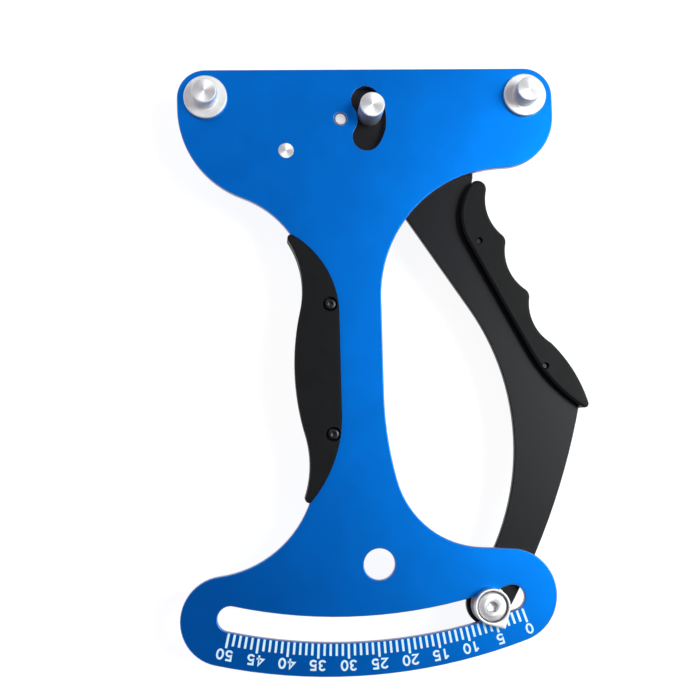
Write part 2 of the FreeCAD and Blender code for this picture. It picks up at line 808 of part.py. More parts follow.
def spring_cap_washer():
    bore = S.shoulder_diameter + S.fixed_clearance * 2
    return washer("spring_cap_washer", S.pivot_x, S.pivot_y, S.cap_diameter, bore,
                  SLEEVE_BACK, S.cap_thickness)


def wire_section(body, angle, level):
    """The wire's section on the half plane through the coil's axis at an angle."""
    sketch = sketch_on(body, "XZ_Plane")
    sketch.AttachmentOffset = FreeCAD.Placement(
        FreeCAD.Vector(0, 0, 0), FreeCAD.Rotation(FreeCAD.Vector(0, 1, 0), angle.value))
    sketch.setExpression("AttachmentOffset.Base.z", "0")
    sketch.setExpression("AttachmentOffset.Rotation.Angle", f"{angle.formula} * 1 deg")
    corners = []
    for k in range(WIRE_SIDES):
        turned = sized(360 / WIRE_SIDES * (k + 0.5))
        corners.append((COIL_RADIUS + S.wire_diameter / 2 * cosine(turned),
                        level + S.wire_diameter / 2 * sine(turned)))
    draw_polygon(sketch, corners)
    return sketch


def origin_axis(body, role):
    return next(axis for axis in body.Origin.OriginFeatures if axis.Role == role)


def lever_leg_path(body):
    """Centre line of the lever leg: along the tangent, then bent forward into the lever."""
    sketch = sketch_on(body, "XZ_Plane")
    heading = LEVER_LEG_ANGLE - 90
    x = COIL_RADIUS * cosine(LEVER_LEG_ANGLE)
    y = COIL_RADIUS * sine(LEVER_LEG_ANGLE)
    sketch.AttachmentOffset = FreeCAD.Placement(
        FreeCAD.Vector(x.value, 0, -y.value), FreeCAD.Rotation(FreeCAD.Vector(0, 1, 0), heading.value))
    sketch.setExpression("AttachmentOffset.Base.x", x.formula)
    sketch.setExpression("AttachmentOffset.Base.z", (-y).formula)
    sketch.setExpression("AttachmentOffset.Rotation.Angle", f"{heading.formula} * 1 deg")
    run = S.lever_leg_length
    bend = S.leg_bend_radius
    tip = LEVER_FRONT - S.plate_edge
    start = FreeCAD.Vector(0, COIL_FRONT.value, 0)
    corner = FreeCAD.Vector(run.value, COIL_FRONT.value, 0)
    centre = FreeCAD.Vector(run.value, (COIL_FRONT + bend).value, 0)
    rising = FreeCAD.Vector((run + bend).value, (COIL_FRONT + bend).value, 0)
    top = FreeCAD.Vector((run + bend).value, tip.value, 0)
    straight = sketch.addGeometry(Part.LineSegment(start, corner))
    circle = Part.Circle(centre, FreeCAD.Vector(0, 0, 1), bend.value)
    round_off = sketch.addGeometry(Part.ArcOfCircle(circle, -math.pi / 2, 0))
    end = sketch.addGeometry(Part.LineSegment(rising, top))
    sketch.addConstraint(Sketcher.Constraint("Tangent", straight, 2, round_off, 1))
    sketch.addConstraint(Sketcher.Constraint("Tangent", round_off, 2, end, 1))
    sketch.addConstraint(Sketcher.Constraint("Horizontal", straight))
    sketch.addConstraint(Sketcher.Constraint("Vertical", end))
    bind(sketch, "DistanceX", straight, 1, ZERO)
    bind(sketch, "DistanceY", straight, 1, COIL_FRONT)
    bind(sketch, "DistanceX", straight, 2, run)
    bind(sketch, "Radius", round_off, None, bend)
    bind(sketch, "DistanceY", end, 2, tip)
    return sketch


def torsion_spring():
    """Wound wire: the frame leg at the rear end, the lever leg at the front end."""
    body = new_body("torsion_spring", S.pivot_x, S.pivot_y)
    rear = wire_section(body, S.frame_leg_angle, COIL_REAR)
    pad(body, rear, S.frame_leg_length, downward=True)
    coil = body.newObject("PartDesign::AdditiveHelix", "Coil")
    coil.Profile = rear
    coil.ReferenceAxis = (origin_axis(body, "Z_Axis"), [""])
    coil.Mode = "pitch-turns-angle"
    coil.setExpression("Pitch", S.coil_pitch.formula)
    coil.setExpression("Turns", S.coil_turns.formula)
    coil.LeftHanded = True
    front = wire_section(body, LEVER_LEG_ANGLE, COIL_FRONT)
    path = lever_leg_path(body)
    leg = body.newObject("PartDesign::AdditivePipe", "LeverLeg")
    leg.Profile = front
    leg.Spine = (path, ["Edge1", "Edge2", "Edge3"])
    return body


def spring_anchor_pin():
    """Pin riveted in the plate, which the frame leg bears on, with a groove for its clip."""
    body = new_body("spring_anchor_pin", S.anchor_x, S.anchor_y)
    radius = S.anchor_diameter / 2
    groove = S.clip_groove_diameter / 2
    groove_top = clip_level()
    groove_bottom = groove_top - S.clip_thickness - S.running_clearance
    end = SLEEVE_BACK - S.anchor_tail
    turn(body, [
        (ZERO, PLATE_FRONT),
        (radius, PLATE_FRONT),
        (radius, groove_top),
        (groove, groove_top),
        (groove, groove_bottom),
        (radius, groove_bottom),
        (radius, end + S.post_edge),
        (radius - S.post_edge, end),
        (ZERO, end),
    ])
    return body


def clip_level():
    """Upper face of the clip, just behind the spring's frame leg."""
    return COIL_REAR - S.wire_diameter / 2 - S.coil_rear_gap


def anchor_clip():
    """E-clip in the pin's groove: a flat ring that is open on one side."""
    body = new_body("anchor_clip", S.anchor_x, S.anchor_y)
    inner = S.clip_groove_diameter / 2 + S.fixed_clearance
    top = clip_level() - S.running_clearance / 2
    bottom = top - S.clip_thickness
    outer = S.clip_diameter / 2
    turn(body, [(inner, top), (outer, top), (outer, bottom), (inner, bottom)])
    mouth = sketch_on(body, "XY_Plane", top)
    half = inner * CLIP_MOUTH
    far = outer + S.clip_thickness
    draw_polygon(mouth, [(-far, -half), (ZERO, -half), (ZERO, half), (-far, half)])
    pocket(body, mouth, S.clip_thickness)
    return body


# ---------------------------------------------------------------- lever side

def lever_plate():
    """Flat curved plate from the pivot to the pointer, with its holes."""
    body = new_body("lever_plate")
    blank = sketch_on(body, "XY_Plane", LEVER_BACK)
    draw_outline(blank, lever_outline())
    pad(body, blank, S.lever_thickness)
    holes = sketch_on(body, "XY_Plane", LEVER_FRONT)
    draw_circle(holes, S.pivot_x, S.pivot_y, S.bush_diameter / 2 + S.fixed_clearance)
    draw_circle(holes, POINTER_X, POINTER_Y, S.pointer_screw_diameter / 2 + S.fixed_clearance)
    grip_hole = S.grip_screw_diameter / 2 + S.screw_clearance
    draw_circle(holes, S.finger_upper_screw_x, S.finger_upper_screw_y, grip_hole)
    draw_circle(holes, S.finger_lower_screw_x, S.finger_lower_screw_y, grip_hole)
    leg_x, leg_y = leg_hole_place()
    draw_circle(holes, leg_x, leg_y, S.leg_hole_diameter / 2)
    cut = pocket(body, holes)
    DOC.recompute()
    bush_rim = (S.bush_diameter + S.fixed_clearance * 2).value * math.pi
    edges = edges_at(cut, (LEVER_FRONT, LEVER_BACK), longer_than=bush_rim + RIM_MARGIN)
    dress(body, "Chamfer", edges, S.plate_edge, "Size")
    through = S.post_screw_diameter / 2 + S.screw_clearance
    seat = sketch_on(body, "XZ_Plane", -MOVING_Y)
    rim = countersink_radius()
    sink = rim - through
    draw_polygon(seat, [
        (MOVING_X, LEVER_FRONT),
        (MOVING_X + through, LEVER_FRONT),
        (MOVING_X + through, LEVER_BACK + sink),
        (MOVING_X + rim, LEVER_BACK),
        (MOVING_X, LEVER_BACK),
    ])
    axis = sketch_axis(seat, MOVING_X)
    groove = body.newObject("PartDesign::Groove", "Countersink")
    groove.Profile = seat
    groove.ReferenceAxis = (seat, [axis])
    groove.Angle = 360
    return body


def sketch_axis(sketch, x):
    """An upright construction line at x, which a groove turns about."""
    low = FreeCAD.Vector(x.value, 0, 0)
    high = FreeCAD.Vector(x.value, 1, 0)
    line = sketch.addGeometry(Part.LineSegment(low, high), True)
    sketch.addConstraint(Sketcher.Constraint("Vertical", line))
    bind(sketch, "DistanceX", line, 1, x)
    bind(sketch, "DistanceY", line, 1, ZERO)
    bind(sketch, "DistanceY", line, 2, sized(1.0))
    return "Axis0"


def leg_hole_place():
    """Where the spring's lever leg comes through the lever."""
    out = S.lever_leg_length + S.leg_bend_radius
    x = S.pivot_x + COIL_RADIUS * cosine(LEVER_LEG_ANGLE) + out * sine(LEVER_LEG_ANGLE)
    y = S.pivot_y + COIL_RADIUS * sine(LEVER_LEG_ANGLE) - out * cosine(LEVER_LEG_ANGLE)
    return x, y


def pointer():
    """Teardrop cup over the lever's end, open above for the head of its screw."""
    body = new_body("pointer", POINTER_X, POINTER_Y)
    bottom = PLATE_FRONT + S.pointer_ride
    top = bottom + S.pointer_height
    blank = sketch_on(body, "XY_Plane", bottom)
    tip_x = S.pointer_reach * cosine(S.pointer_heading)
    tip_y = S.pointer_reach * sine(S.pointer_heading)
    draw_outline(blank, [
        Bend(ZERO, ZERO, S.pointer_radius, OUTWARD),
        Bend(tip_x, tip_y, S.pointer_tip_radius, OUTWARD),
    ])
    pad(body, blank, S.pointer_height)
    drill(body, top, ZERO, ZERO, S.pointer_bore_diameter, S.pointer_height - S.pointer_floor)
    cut = drill(body, top, ZERO, ZERO, S.pointer_screw_diameter + S.fixed_clearance * 2)
    DOC.recompute()
    dress(body, "Chamfer", edges_at(cut, (top, bottom)), S.plate_edge, "Size")
    return body


def pointer_spacer():
    """Hub that carries the pointer above the plate and runs in the slot."""
    top = PLATE_FRONT + S.pointer_ride
    bore = S.pointer_screw_diameter + S.fixed_clearance * 2
    return washer("pointer_spacer", POINTER_X, POINTER_Y, S.spacer_diameter, bore, top, top - LEVER_FRONT)


def lever_glide_washer():
    """Thin washer round the hub that keeps the lever off the plate's rear face."""
    bore = S.spacer_diameter + S.fixed_clearance * 2
    thickness = S.washer_gap - S.running_clearance
    top = LEVER_FRONT + thickness
    return washer("lever_glide_washer", POINTER_X, POINTER_Y, S.glide_washer_diameter, bore, top, thickness)


# ---------------------------------------------------------------- grips

def palm_outline():
    """Palm grip: straight inner edge, swollen outer edge, and ends that follow the plate's hollows."""
    flank_x, flank_y, flank_radius = left_flank(S.palm_wall)
    waist_x, waist_y, waist_radius = left_waist(S.palm_wall)
    lower_x = S.palm_inner_edge - S.palm_lower_radius
    lower_y = waist_y + S.palm_lower_rise
    upper_x = S.palm_inner_edge - S.palm_upper_radius
    upper_y = flank_y - S.palm_upper_drop
    tip = S.palm_tip_radius.value
    flank = (flank_x.value, flank_y.value)
    waist = (waist_x.value, waist_y.value)
    lower = (lower_x.value, lower_y.value)
    upper = (upper_x.value, upper_y.value)
    swell_x, swell_y = touching(flank, S.palm_swell_radius.value + flank_radius.value,
                                waist, S.palm_swell_radius.value + waist_radius.value)
    low_x, low_y = touching(lower, S.palm_lower_radius.value - tip, waist, waist_radius.value + tip)
    high_x, high_y = touching(flank, flank_radius.value + tip, upper, S.palm_upper_radius.value - tip)
    return [
        Bend(high_x, high_y, S.palm_tip_radius, OUTWARD, touches_next=True),
        Bend(flank_x, flank_y, flank_radius, INWARD, touches_next=True),
        Bend(swell_x, swell_y, S.palm_swell_radius, OUTWARD, touches_next=True),
        Bend(waist_x, waist_y, waist_radius, INWARD, touches_next=True),
        Bend(low_x, low_y, S.palm_tip_radius, OUTWARD, touches_next=True),
        Bend(lower_x, lower_y, S.palm_lower_radius, OUTWARD),
        Bend(upper_x, upper_y, S.palm_upper_radius, OUTWARD, touches_next=True),
    ]


def finger_outline():
    """Finger grip: horn, bulged inner edge, tail, and three finger hollows between ridges."""
    bulge_gap = S.bulge_radius - S.horn_radius
    bulge_x = S.horn_x + reach(bulge_gap, S.bulge_y - S.horn_y)
    tail_gap = S.finger_lower_radius - S.finger_tail_radius
    tail_y = S.finger_lower_y - reach(tail_gap, S.finger_tail_x - S.finger_lower_x)
    across = S.finger_tail_x - S.finger_heel_x
    along = tail_y - S.finger_heel_y
    heel_radius = root(across * across + along * along) + S.finger_tail_radius
    third_x = S.finger_heel_x + reach(heel_radius - S.ridge_radius, S.third_ridge_y - S.finger_heel_y)
    hollow = S.finger_hollow_radius.value
    ridge = S.ridge_radius.value
    horn = (S.horn_x.value, S.horn_y.value)
    first = (S.first_ridge_x.value, S.first_ridge_y.value)
    second = (S.second_ridge_x.value, S.second_ridge_y.value)
    third = (third_x.value, S.third_ridge_y.value)
    upper = touching(horn, hollow + S.horn_radius.value, first, hollow + ridge)
    middle = touching(first, hollow + ridge, second, hollow + ridge)
    lower = touching(second, hollow + ridge, third, hollow + ridge)
    return [
        Bend(S.horn_x, S.horn_y, S.horn_radius, OUTWARD, touches_next=True),
        Bend(bulge_x.value, S.bulge_y, S.bulge_radius, OUTWARD),
        Bend(S.finger_lower_x, S.finger_lower_y, S.finger_lower_radius, OUTWARD, touches_next=True),
        Bend(S.finger_tail_x, tail_y.value, S.finger_tail_radius, OUTWARD, touches_next=True),
        Bend(S.finger_heel_x, S.finger_heel_y, heel_radius.value, OUTWARD, touches_next=True),
        Bend(third_x.value, S.third_ridge_y, S.ridge_radius, OUTWARD, touches_next=True),
        Bend(lower[0], lower[1], S.finger_hollow_radius, INWARD, touches_next=True),
        Bend(S.second_ridge_x, S.second_ridge_y, S.ridge_radius, OUTWARD, touches_next=True),
        Bend(middle[0], middle[1], S.finger_hollow_radius, INWARD, touches_next=True),
        Bend(S.first_ridge_x, S.first_ridge_y, S.ridge_radius, OUTWARD, touches_next=True),
        Bend(upper[0], upper[1], S.finger_hollow_radius, INWARD, touches_next=True),
    ]


def grip(name, outline, front, back, channel, channel_front, channel_depth):
    """Moulded grip: a block with eased edges and a channel that the plate's edge sits in."""
    body = new_body(name)
    blank = sketch_on(body, "XY_Plane", back)
    draw_outline(blank, outline)
    block = pad(body, blank, front - back)
    DOC.recompute()
    dress(body, "Chamfer", edges_at(block, (front, back)), S.grip_edge, "Size")
    groove = sketch_on(body, "XY_Plane", channel_front)
    draw_outline(groove, channel)
    pocket(body, groove, channel_depth)
    return body


def palm_grip():
    """Grip over the stem's left edge, screwed on from the front."""
    front = PLATE_FRONT + S.grip_front_thickness
    back = PLATE_BACK - S.palm_rear_thickness
    body = grip("palm_grip", palm_outline(), front, back,
                plate_outline(S.grip_clearance), PLATE_FRONT, S.plate_thickness)
    for x, y in palm_screws():
        drill(body, front, x, y, S.grip_recess_diameter, S.grip_recess_depth)
        drill(body, front, x, y, S.grip_screw_diameter + S.fixed_clearance * 2,
              front - PLATE_BACK + palm_thread())
    return body


def palm_screws():
    """Places of the palm grip's screws, beside its inner edge."""
    x = S.palm_inner_edge - S.palm_screw_inset
    upper = left_flank(ZERO)[1] - S.palm_upper_screw_drop
    lower = left_waist(ZERO)[1] + S.palm_lower_screw_rise
    return (x, upper), (x, lower)


def palm_thread():
    """How deep the palm grip's screws go into its rear flange."""
    return S.palm_rear_thickness * GRIP_THREAD


def finger_grip():
    """Grip over the lever's outer edge, screwed on from the rear, with its screw holes open in front."""
    front = finger_front()
    back = LEVER_BACK - S.finger_rear_thickness
    body = grip("finger_grip", finger_outline(), front, back,
                lever_outline(S.grip_clearance), LEVER_FRONT, S.lever_thickness)
    for x, y in finger_screws():
        drill(body, back, x, y, S.grip_recess_diameter, S.grip_recess_depth, upward=True)
        drill(body, back, x, y, S.grip_screw_diameter + S.fixed_clearance * 2, front - back, upward=True)
    return body


def finger_front():
    return LEVER_FRONT + S.finger_front_thickness


def finger_screws():
    return (
        (S.finger_upper_screw_x, S.finger_upper_screw_y),
        (S.finger_lower_screw_x, S.finger_lower_screw_y),
    )


def grip_screws():
    """The palm grip's two screws from the front and the finger grip's two from the rear."""
    screws = []
    front = PLATE_FRONT + S.grip_front_thickness
    seat = front - S.grip_recess_depth
    length = seat - PLATE_BACK + palm_thread() - S.screw_clearance
    for name, (x, y) in zip(("palm_grip_upper_screw", "palm_grip_lower_screw"), palm_screws()):
        screws.append(button_screw(name, x, y, seat, length, S.grip_screw_diameter,
                                   S.grip_screw_head_diameter, S.grip_screw_head_height,
                                   S.grip_screw_socket, upward=False))
    back = LEVER_BACK - S.finger_rear_thickness
    seat = back + S.grip_recess_depth
    length = finger_front() - seat - S.finger_screw_cover
    for name, (x, y) in zip(("finger_grip_upper_screw", "finger_grip_lower_screw"), finger_screws()):
        screws.append(button_screw(name, x, y, seat, length, S.grip_screw_diameter,
                                   S.grip_screw_head_diameter, S.grip_screw_head_height,
                                   S.grip_screw_socket, upward=True))
    return screws


# ---------------------------------------------------------------- the whole meter

def build():
    parts = [frame_plate()]
    post_bore = S.post_screw_diameter + S.screw_clearance * 2
    screw_seat = PLATE_BACK - S.post_washer_thickness
    screw_length = S.post_washer_thickness + S.plate_thickness + S.post_screw_depth - S.screw_clearance
    for side, x in (("left", -POST_X), ("right", POST_X)):
        parts.append(fixed_post(f"{side}_fixed_post", x))
        parts.append(washer(f"{side}_post_washer", x, ZERO, S.post_washer_diameter, post_bore,
                            PLATE_BACK, S.post_washer_thickness))
        parts.append(button_screw(f"{side}_post_screw", x, ZERO, screw_seat, screw_length,
                                  S.post_screw_diameter, S.post_screw_head_diameter,
                                  S.post_screw_head_height, S.post_screw_diameter * SOCKET_WIDTH,
                                  upward=True))
    parts.append(pivot_screw())
    parts.append(pivot_washer("pivot_front_washer", S.front_washer_diameter, PLATE_BACK))
    parts.append(pivot_washer("pivot_rear_washer", S.rear_washer_diameter, LEVER_BACK))
    parts.append(spring_guide_sleeve())
    parts.append(spring_cap_washer())
    parts.append(spring_anchor_pin())
    parts.append(anchor_clip())
    parts.append(torsion_spring())
    parts.append(palm_grip())
    parts.append(lever_plate())
    parts.append(lever_bush())
    parts.append(moving_post())
    parts.append(moving_post_screw())
    parts.append(finger_grip())
    parts.append(pointer())
    parts.append(pointer_spacer())
    head_seat = PLATE_FRONT + S.pointer_ride + S.pointer_floor
    parts.append(button_screw("pointer_screw", POINTER_X, POINTER_Y, head_seat, head_seat - LEVER_BACK,
                              S.pointer_screw_diameter, S.pointer_screw_head_diameter,
                              S.pointer_screw_head_height, S.pointer_socket, upward=False))
    parts.append(lever_glide_washer())
    parts.extend(grip_screws())
    return parts


def check(parts):
    """Every object has computed, and every part is a whole, valid solid."""
    for item in DOC.Objects:
        if "Invalid" in item.State or "Error" in item.State:
            raise RuntimeError(f"{item.Name} ({item.Label}) failed: {item.State}")
    for part in parts:
        if part.Shape.isNull() or not part.Shape.isValid() or not part.Shape.Solids:
            raise RuntimeError(f"{part.Label} has no valid solid")


def write(parts):
    os.makedirs("parts", exist_ok=True)
    for part in parts:
        part.Shape.exportStep(f"parts/{part.Label}.step")
        print(part.Label, len(part.Shape.Solids), round(part.Shape.Volume, 2))


PARTS = build()
DOC.recompute()
check(PARTS)
write(PARTS)
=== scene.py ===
import bmesh
import bpy
import math
from mathutils import Matrix, Vector


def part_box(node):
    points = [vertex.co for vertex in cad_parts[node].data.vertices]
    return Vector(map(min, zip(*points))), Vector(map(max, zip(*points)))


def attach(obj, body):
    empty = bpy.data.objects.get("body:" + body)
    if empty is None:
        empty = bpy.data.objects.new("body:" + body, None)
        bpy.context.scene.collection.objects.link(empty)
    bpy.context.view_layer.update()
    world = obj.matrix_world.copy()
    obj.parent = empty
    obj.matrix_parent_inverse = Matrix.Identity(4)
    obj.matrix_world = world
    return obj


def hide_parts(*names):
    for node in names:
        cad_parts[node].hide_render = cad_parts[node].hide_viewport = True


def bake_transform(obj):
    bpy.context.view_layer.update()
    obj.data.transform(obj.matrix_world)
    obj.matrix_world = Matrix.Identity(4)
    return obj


MM = 0.001
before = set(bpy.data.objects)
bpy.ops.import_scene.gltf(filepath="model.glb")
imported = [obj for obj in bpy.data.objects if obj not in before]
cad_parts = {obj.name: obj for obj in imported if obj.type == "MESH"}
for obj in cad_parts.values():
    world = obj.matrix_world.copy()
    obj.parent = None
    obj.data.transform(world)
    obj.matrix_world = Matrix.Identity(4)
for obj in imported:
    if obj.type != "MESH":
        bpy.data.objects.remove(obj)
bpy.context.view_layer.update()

# ---------------------------------------------------------------- sizes, in millimetres

PLATE_FRONT = -1.5
PLATE_BACK = -4.0
LEVER_FRONT = -4.5
LEVER_BACK = -7.0
PIVOT = (-8.66, -7.22)
EASE = 0.1  # the usual round on a turned edge

# rounds that break the edges of plates, grips and clip
PLATE_ROUND = 0.32
LEVER_ROUND = 0.1
GRIP_ROUND = 0.3
CLIP_ROUND = 0.06

# posts
POST_RADIUS = 4.0
POST_TOP = 7.0
POST_CHAMFER = 0.28
POST_FOOT = 0.12
FLANGE_RADIUS = 7.0
FLANGE_CHAMFER = 0.28
SPIGOT_RADIUS = 2.97
POST_BORE = 2.03
FIXED_BORE_END = 2.4
FIXED_BORE_TIP = 2.9
MOVING_BORE_END = -0.6
MOVING_BORE_TIP = -0.2

# washer bores
POST_WASHER_BORE = 2.1
PIVOT_WASHER_BORE = 3.03
BUSH_BORE = 3.04
GLIDE_BORE = 3.73

# socket screws: shank and head radius, head height, key size and length under the head
POST_SCREW = {"shank": 2.0, "head": 3.8, "height": 2.2, "across": 2.4, "length": 7.2}
POINTER_SCREW = {"shank": 2.5, "head": 4.75, "height": 2.6, "across": 3.0, "length": 6.5}
PALM_SCREW = {"shank": 1.0, "head": 1.95, "height": 1.4, "across": 1.5, "length": 6.6}
FINGER_SCREW = {"shank": 1.0, "head": 1.95, "height": 1.4, "across": 1.5, "length": 6.3}
POST_SCREW_SEAT = -4.8
POINTER_SCREW_SEAT = -0.5
PALM_SCREW_SEAT = -0.1
FINGER_SCREW_SEAT = -8.4

# flush screw under the moving post
FLUSH_HEAD = 3.55
FLUSH_SHANK = 2.0
FLUSH_NECK = -5.45
FLUSH_SOCKET = 2.4
FLUSH_SOCKET_END = -5.2

# shoulder screw at the pivot
SHOULDER_RADIUS = 3.0
SHOULDER_SEAT = -17.7
SHOULDER_CROWN = -20.7
SHOULDER_HEAD = 5.0
SHOULDER_HEAD_EDGE = 0.4
SHOULDER_SOCKET = 4.0
SHOULDER_SOCKET_DEPTH = 2.6
THREAD_RADIUS = 2.0
THREAD_TIP = -1.7
THREAD_CHAMFER_START = -2.05
THREAD_TIP_RADIUS = 1.62

# anchor pin
PIN_RADIUS = 2.5
PIN_GROOVE = 2.0
PIN_EDGE = 0.12
PIN_TAIL_EDGE = 0.4
GROOVE_ROOM = 0.02

# pointer
POINTER_RADIUS = 5.7
POINTER_REACH = 7.4
POINTER_TIP = 0.4
SHARPEST_TIP = 0.12
POINTER_HEADING = math.radians(-62.2)
POINTER_FLOOR = 0.8
POINTER_BORE = 2.53
CUP_RADIUS = 4.95

# spring wire
WIRE_RADIUS = 1.0
COIL_RADIUS = 7.0
COIL_PITCH = 2.1
COIL_TURNS = 3.3317
COIL_FRONT = -8.7
COIL_REAR = COIL_FRONT - COIL_PITCH * COIL_TURNS
FRAME_LEG_ANGLE = math.radians(150.4)
FRAME_LEG_LENGTH = 22.0
LEVER_LEG_LENGTH = 20.5
LEG_BEND = 2.5
LEVER_LEG_END = -4.75
LEG_STEPS = 12
BEND_STEPS = 8
STEPS_PER_TURN = 72

# printed scale, measured about the pivot
MARK_COUNT = 51
MARK_GROUP = 5
MARK_START_ANGLE = -103.5
MARK_SWEEP = 32.2
MARK_INNER_RADIUS = 168.2
SHORT_MARK = 3.7
LONG_MARK = 4.6
MARK_WIDTH = 0.74
MARK_CORNER = 0.18  # a corner's round, as a share of the width
NUMBER_RADIUS = 174.9
NUMBER_HEIGHT = 3.45
NUMBER_STROKE = 0.62
NUMBER_PITCH = 2.85
INK_THICKNESS = 0.03
INK_LAYER = 0.002  # each further stroke of a digit lies this much higher
INK_SINK = 0.01
PRINT_LEVEL = PLATE_FRONT - INK_SINK


def mm(x, y, z):
    return Vector((x, y, z)) * MM


def colour(hex_text):
    """sRGB hex as the linear colour that the shaders work in."""
    linear = []
    for k in (0, 2, 4):
        value = int(hex_text[k:k + 2], 16) / 255
        linear.append(value / 12.92 if value <= 0.04045 else ((value + 0.055) / 1.055) ** 2.4)
    return (*linear, 1.0)


# ---------------------------------------------------------------- materials

# a noise pattern's middle range, which is spread over a finish's two colours or gloss values
PATTERN_LOW = 0.3
PATTERN_HIGH = 0.7
# how far a normal points up or down, on a cut wall and on a flat face of the sheet
CUT_WALL = 0.45
FLAT_FACE = 0.92
# along a turned profile, in millimetres: where the faced end stops, and where the plain turning begins
FACED_END = 4.0
PLAIN_START = 5.0


def set_inputs(node, inputs):
    """Values, or links from other nodes' sockets, on a node's inputs."""
    for name, value in inputs.items():
        if isinstance(value, bpy.types.NodeSocket):
            node.id_data.links.new(value, node.inputs[name])
        else:
            node.inputs[name].default_value = value


def add_node(tree, kind, settings=None, inputs=None):
    """One node with its settings, and its inputs as values or links."""
    node = tree.nodes.new(kind)
    for name, value in (settings or {}).items():
        setattr(node, name, value)
    set_inputs(node, inputs or {})
    return node


def new_material(name, plain):
    """A material whose shader has these plain values; returns it with its tree and shader."""
    material = bpy.data.materials.new(name)
    material.use_nodes = True
    tree = material.node_tree
    tree.nodes.clear()
    shader = add_node(tree, "ShaderNodeBsdfPrincipled", inputs=plain)
    add_node(tree, "ShaderNodeOutputMaterial", inputs={"Surface": shader.outputs["BSDF"]})
    return material, tree, shader


def lay_finish(tree, shader, colours, gloss, relief):
    """Lays colour, roughness and relief on a shader, each led by a pattern.

    colours is (pattern, hex, hex), gloss is (pattern, roughness, roughness) and relief is
    (pattern, depth in millimetres, strength). Returns the colour and the bumped normal.
    """
    share = add_node(tree, "ShaderNodeMapRange", inputs={
        "Value": colours[0], "From Min": PATTERN_LOW, "From Max": PATTERN_HIGH})
    base = add_node(tree, "ShaderNodeMix", {"data_type": "RGBA"}, {
        "Factor": share.outputs["Result"], "A": colour(colours[1]), "B": colour(colours[2])})
    sheen = add_node(tree, "ShaderNodeMapRange", inputs={
        "Value": gloss[0], "From Min": PATTERN_LOW, "From Max": PATTERN_HIGH,
        "To Min": gloss[1], "To Max": gloss[2]})
    bumps = add_node(tree, "ShaderNodeBump", inputs={
        "Height": relief[0], "Distance": relief[1] * MM, "Strength": relief[2]})
    set_inputs(shader, {"Base Color": base.outputs["Result"], "Roughness": sheen.outputs["Result"],
                        "Normal": bumps.outputs["Normal"]})
    return base.outputs["Result"], bumps.outputs["Normal"]


def blue_anodised_aluminium():
    """Sheet 6061, bead blasted and dyed blue: a deep satin colour that glows where light sweeps over it."""
    material, tree, shader = new_material("blue_anodised_aluminium", {
        "Metallic": 1.0, "Coat Weight": 0.02, "Coat Roughness": 0.32})
    place = add_node(tree, "ShaderNodeTexCoord").outputs["Object"]
    blast = add_node(tree, "ShaderNodeTexNoise", inputs={
        "Vector": place, "Scale": 1 / (0.16 * MM), "Detail": 3.0, "Roughness": 0.6})
    cloud = add_node(tree, "ShaderNodeTexNoise", inputs={
        "Vector": place, "Scale": 1 / (14.0 * MM), "Detail": 3.0, "Roughness": 0.5})
    # the sheet's rolling direction runs along the stem
    rolled = add_node(tree, "ShaderNodeMapping", inputs={"Vector": place, "Scale": (1, 0.06, 1)})
    roll = add_node(tree, "ShaderNodeTexNoise", inputs={
        "Vector": rolled.outputs["Vector"], "Scale": 1 / (0.5 * MM), "Detail": 2.0, "Roughness": 0.5})
    dye, _ = lay_finish(tree, shader, (cloud.outputs["Fac"], "056CC8", "0572D2"),
                        (roll.outputs["Fac"], 0.38, 0.4), (blast.outputs["Fac"], 0.006, 0.5))
    # cut walls are painted paler and greyer than the faces: partly the thinner dye they take, partly a
    # painted reflection of the white floor
    geometry = add_node(tree, "ShaderNodeNewGeometry")
    parts = add_node(tree, "ShaderNodeSeparateXYZ", inputs={"Vector": geometry.outputs["Normal"]})
    level = add_node(tree, "ShaderNodeMath", {"operation": "ABSOLUTE"}, {0: parts.outputs["Z"]})
    wall_dye_and_reflection = add_node(tree, "ShaderNodeMapRange", inputs={
        "Value": level.outputs["Value"], "From Min": CUT_WALL, "From Max": FLAT_FACE,
        "To Min": 1.0, "To Max": 0.0})
    dye_and_painted_wall_reflection = add_node(tree, "ShaderNodeMix", {"data_type": "RGBA"}, {
        "Factor": wall_dye_and_reflection.outputs["Result"], "A": dye, "B": colour("8C88A2")})
    set_inputs(shader, {"Base Color": dye_and_painted_wall_reflection.outputs["Result"]})
    return material


def black_coated_steel():
    """Steel sheet with a black dip coat: satin, faintly uneven like orange peel."""
    material, tree, shader = new_material("black_coated_steel", {
        "Metallic": 0.0, "IOR": 1.5, "Specular IOR Level": 0.22})
    place = add_node(tree, "ShaderNodeTexCoord").outputs["Object"]
    peel = add_node(tree, "ShaderNodeTexNoise", inputs={
        "Vector": place, "Scale": 1 / (0.9 * MM), "Detail": 2.0, "Roughness": 0.5})
    dust = add_node(tree, "ShaderNodeTexNoise", inputs={
        "Vector": place, "Scale": 1 / (0.22 * MM), "Detail": 3.0, "Roughness": 0.65})
    cloud = add_node(tree, "ShaderNodeTexNoise", inputs={
        "Vector": place, "Scale": 1 / (20.0 * MM), "Detail": 2.0, "Roughness": 0.5})
    _, fine = lay_finish(tree, shader, (cloud.outputs["Fac"], "06060B", "09090F"),
                         (dust.outputs["Fac"], 0.34, 0.42), (dust.outputs["Fac"], 0.004, 0.5))
    bumps = add_node(tree, "ShaderNodeBump", inputs={
        "Height": peel.outputs["Fac"], "Distance": 0.012 * MM, "Strength": 0.5, "Normal": fine})
    set_inputs(shader, {"Normal": bumps.outputs["Normal"]})
    return material


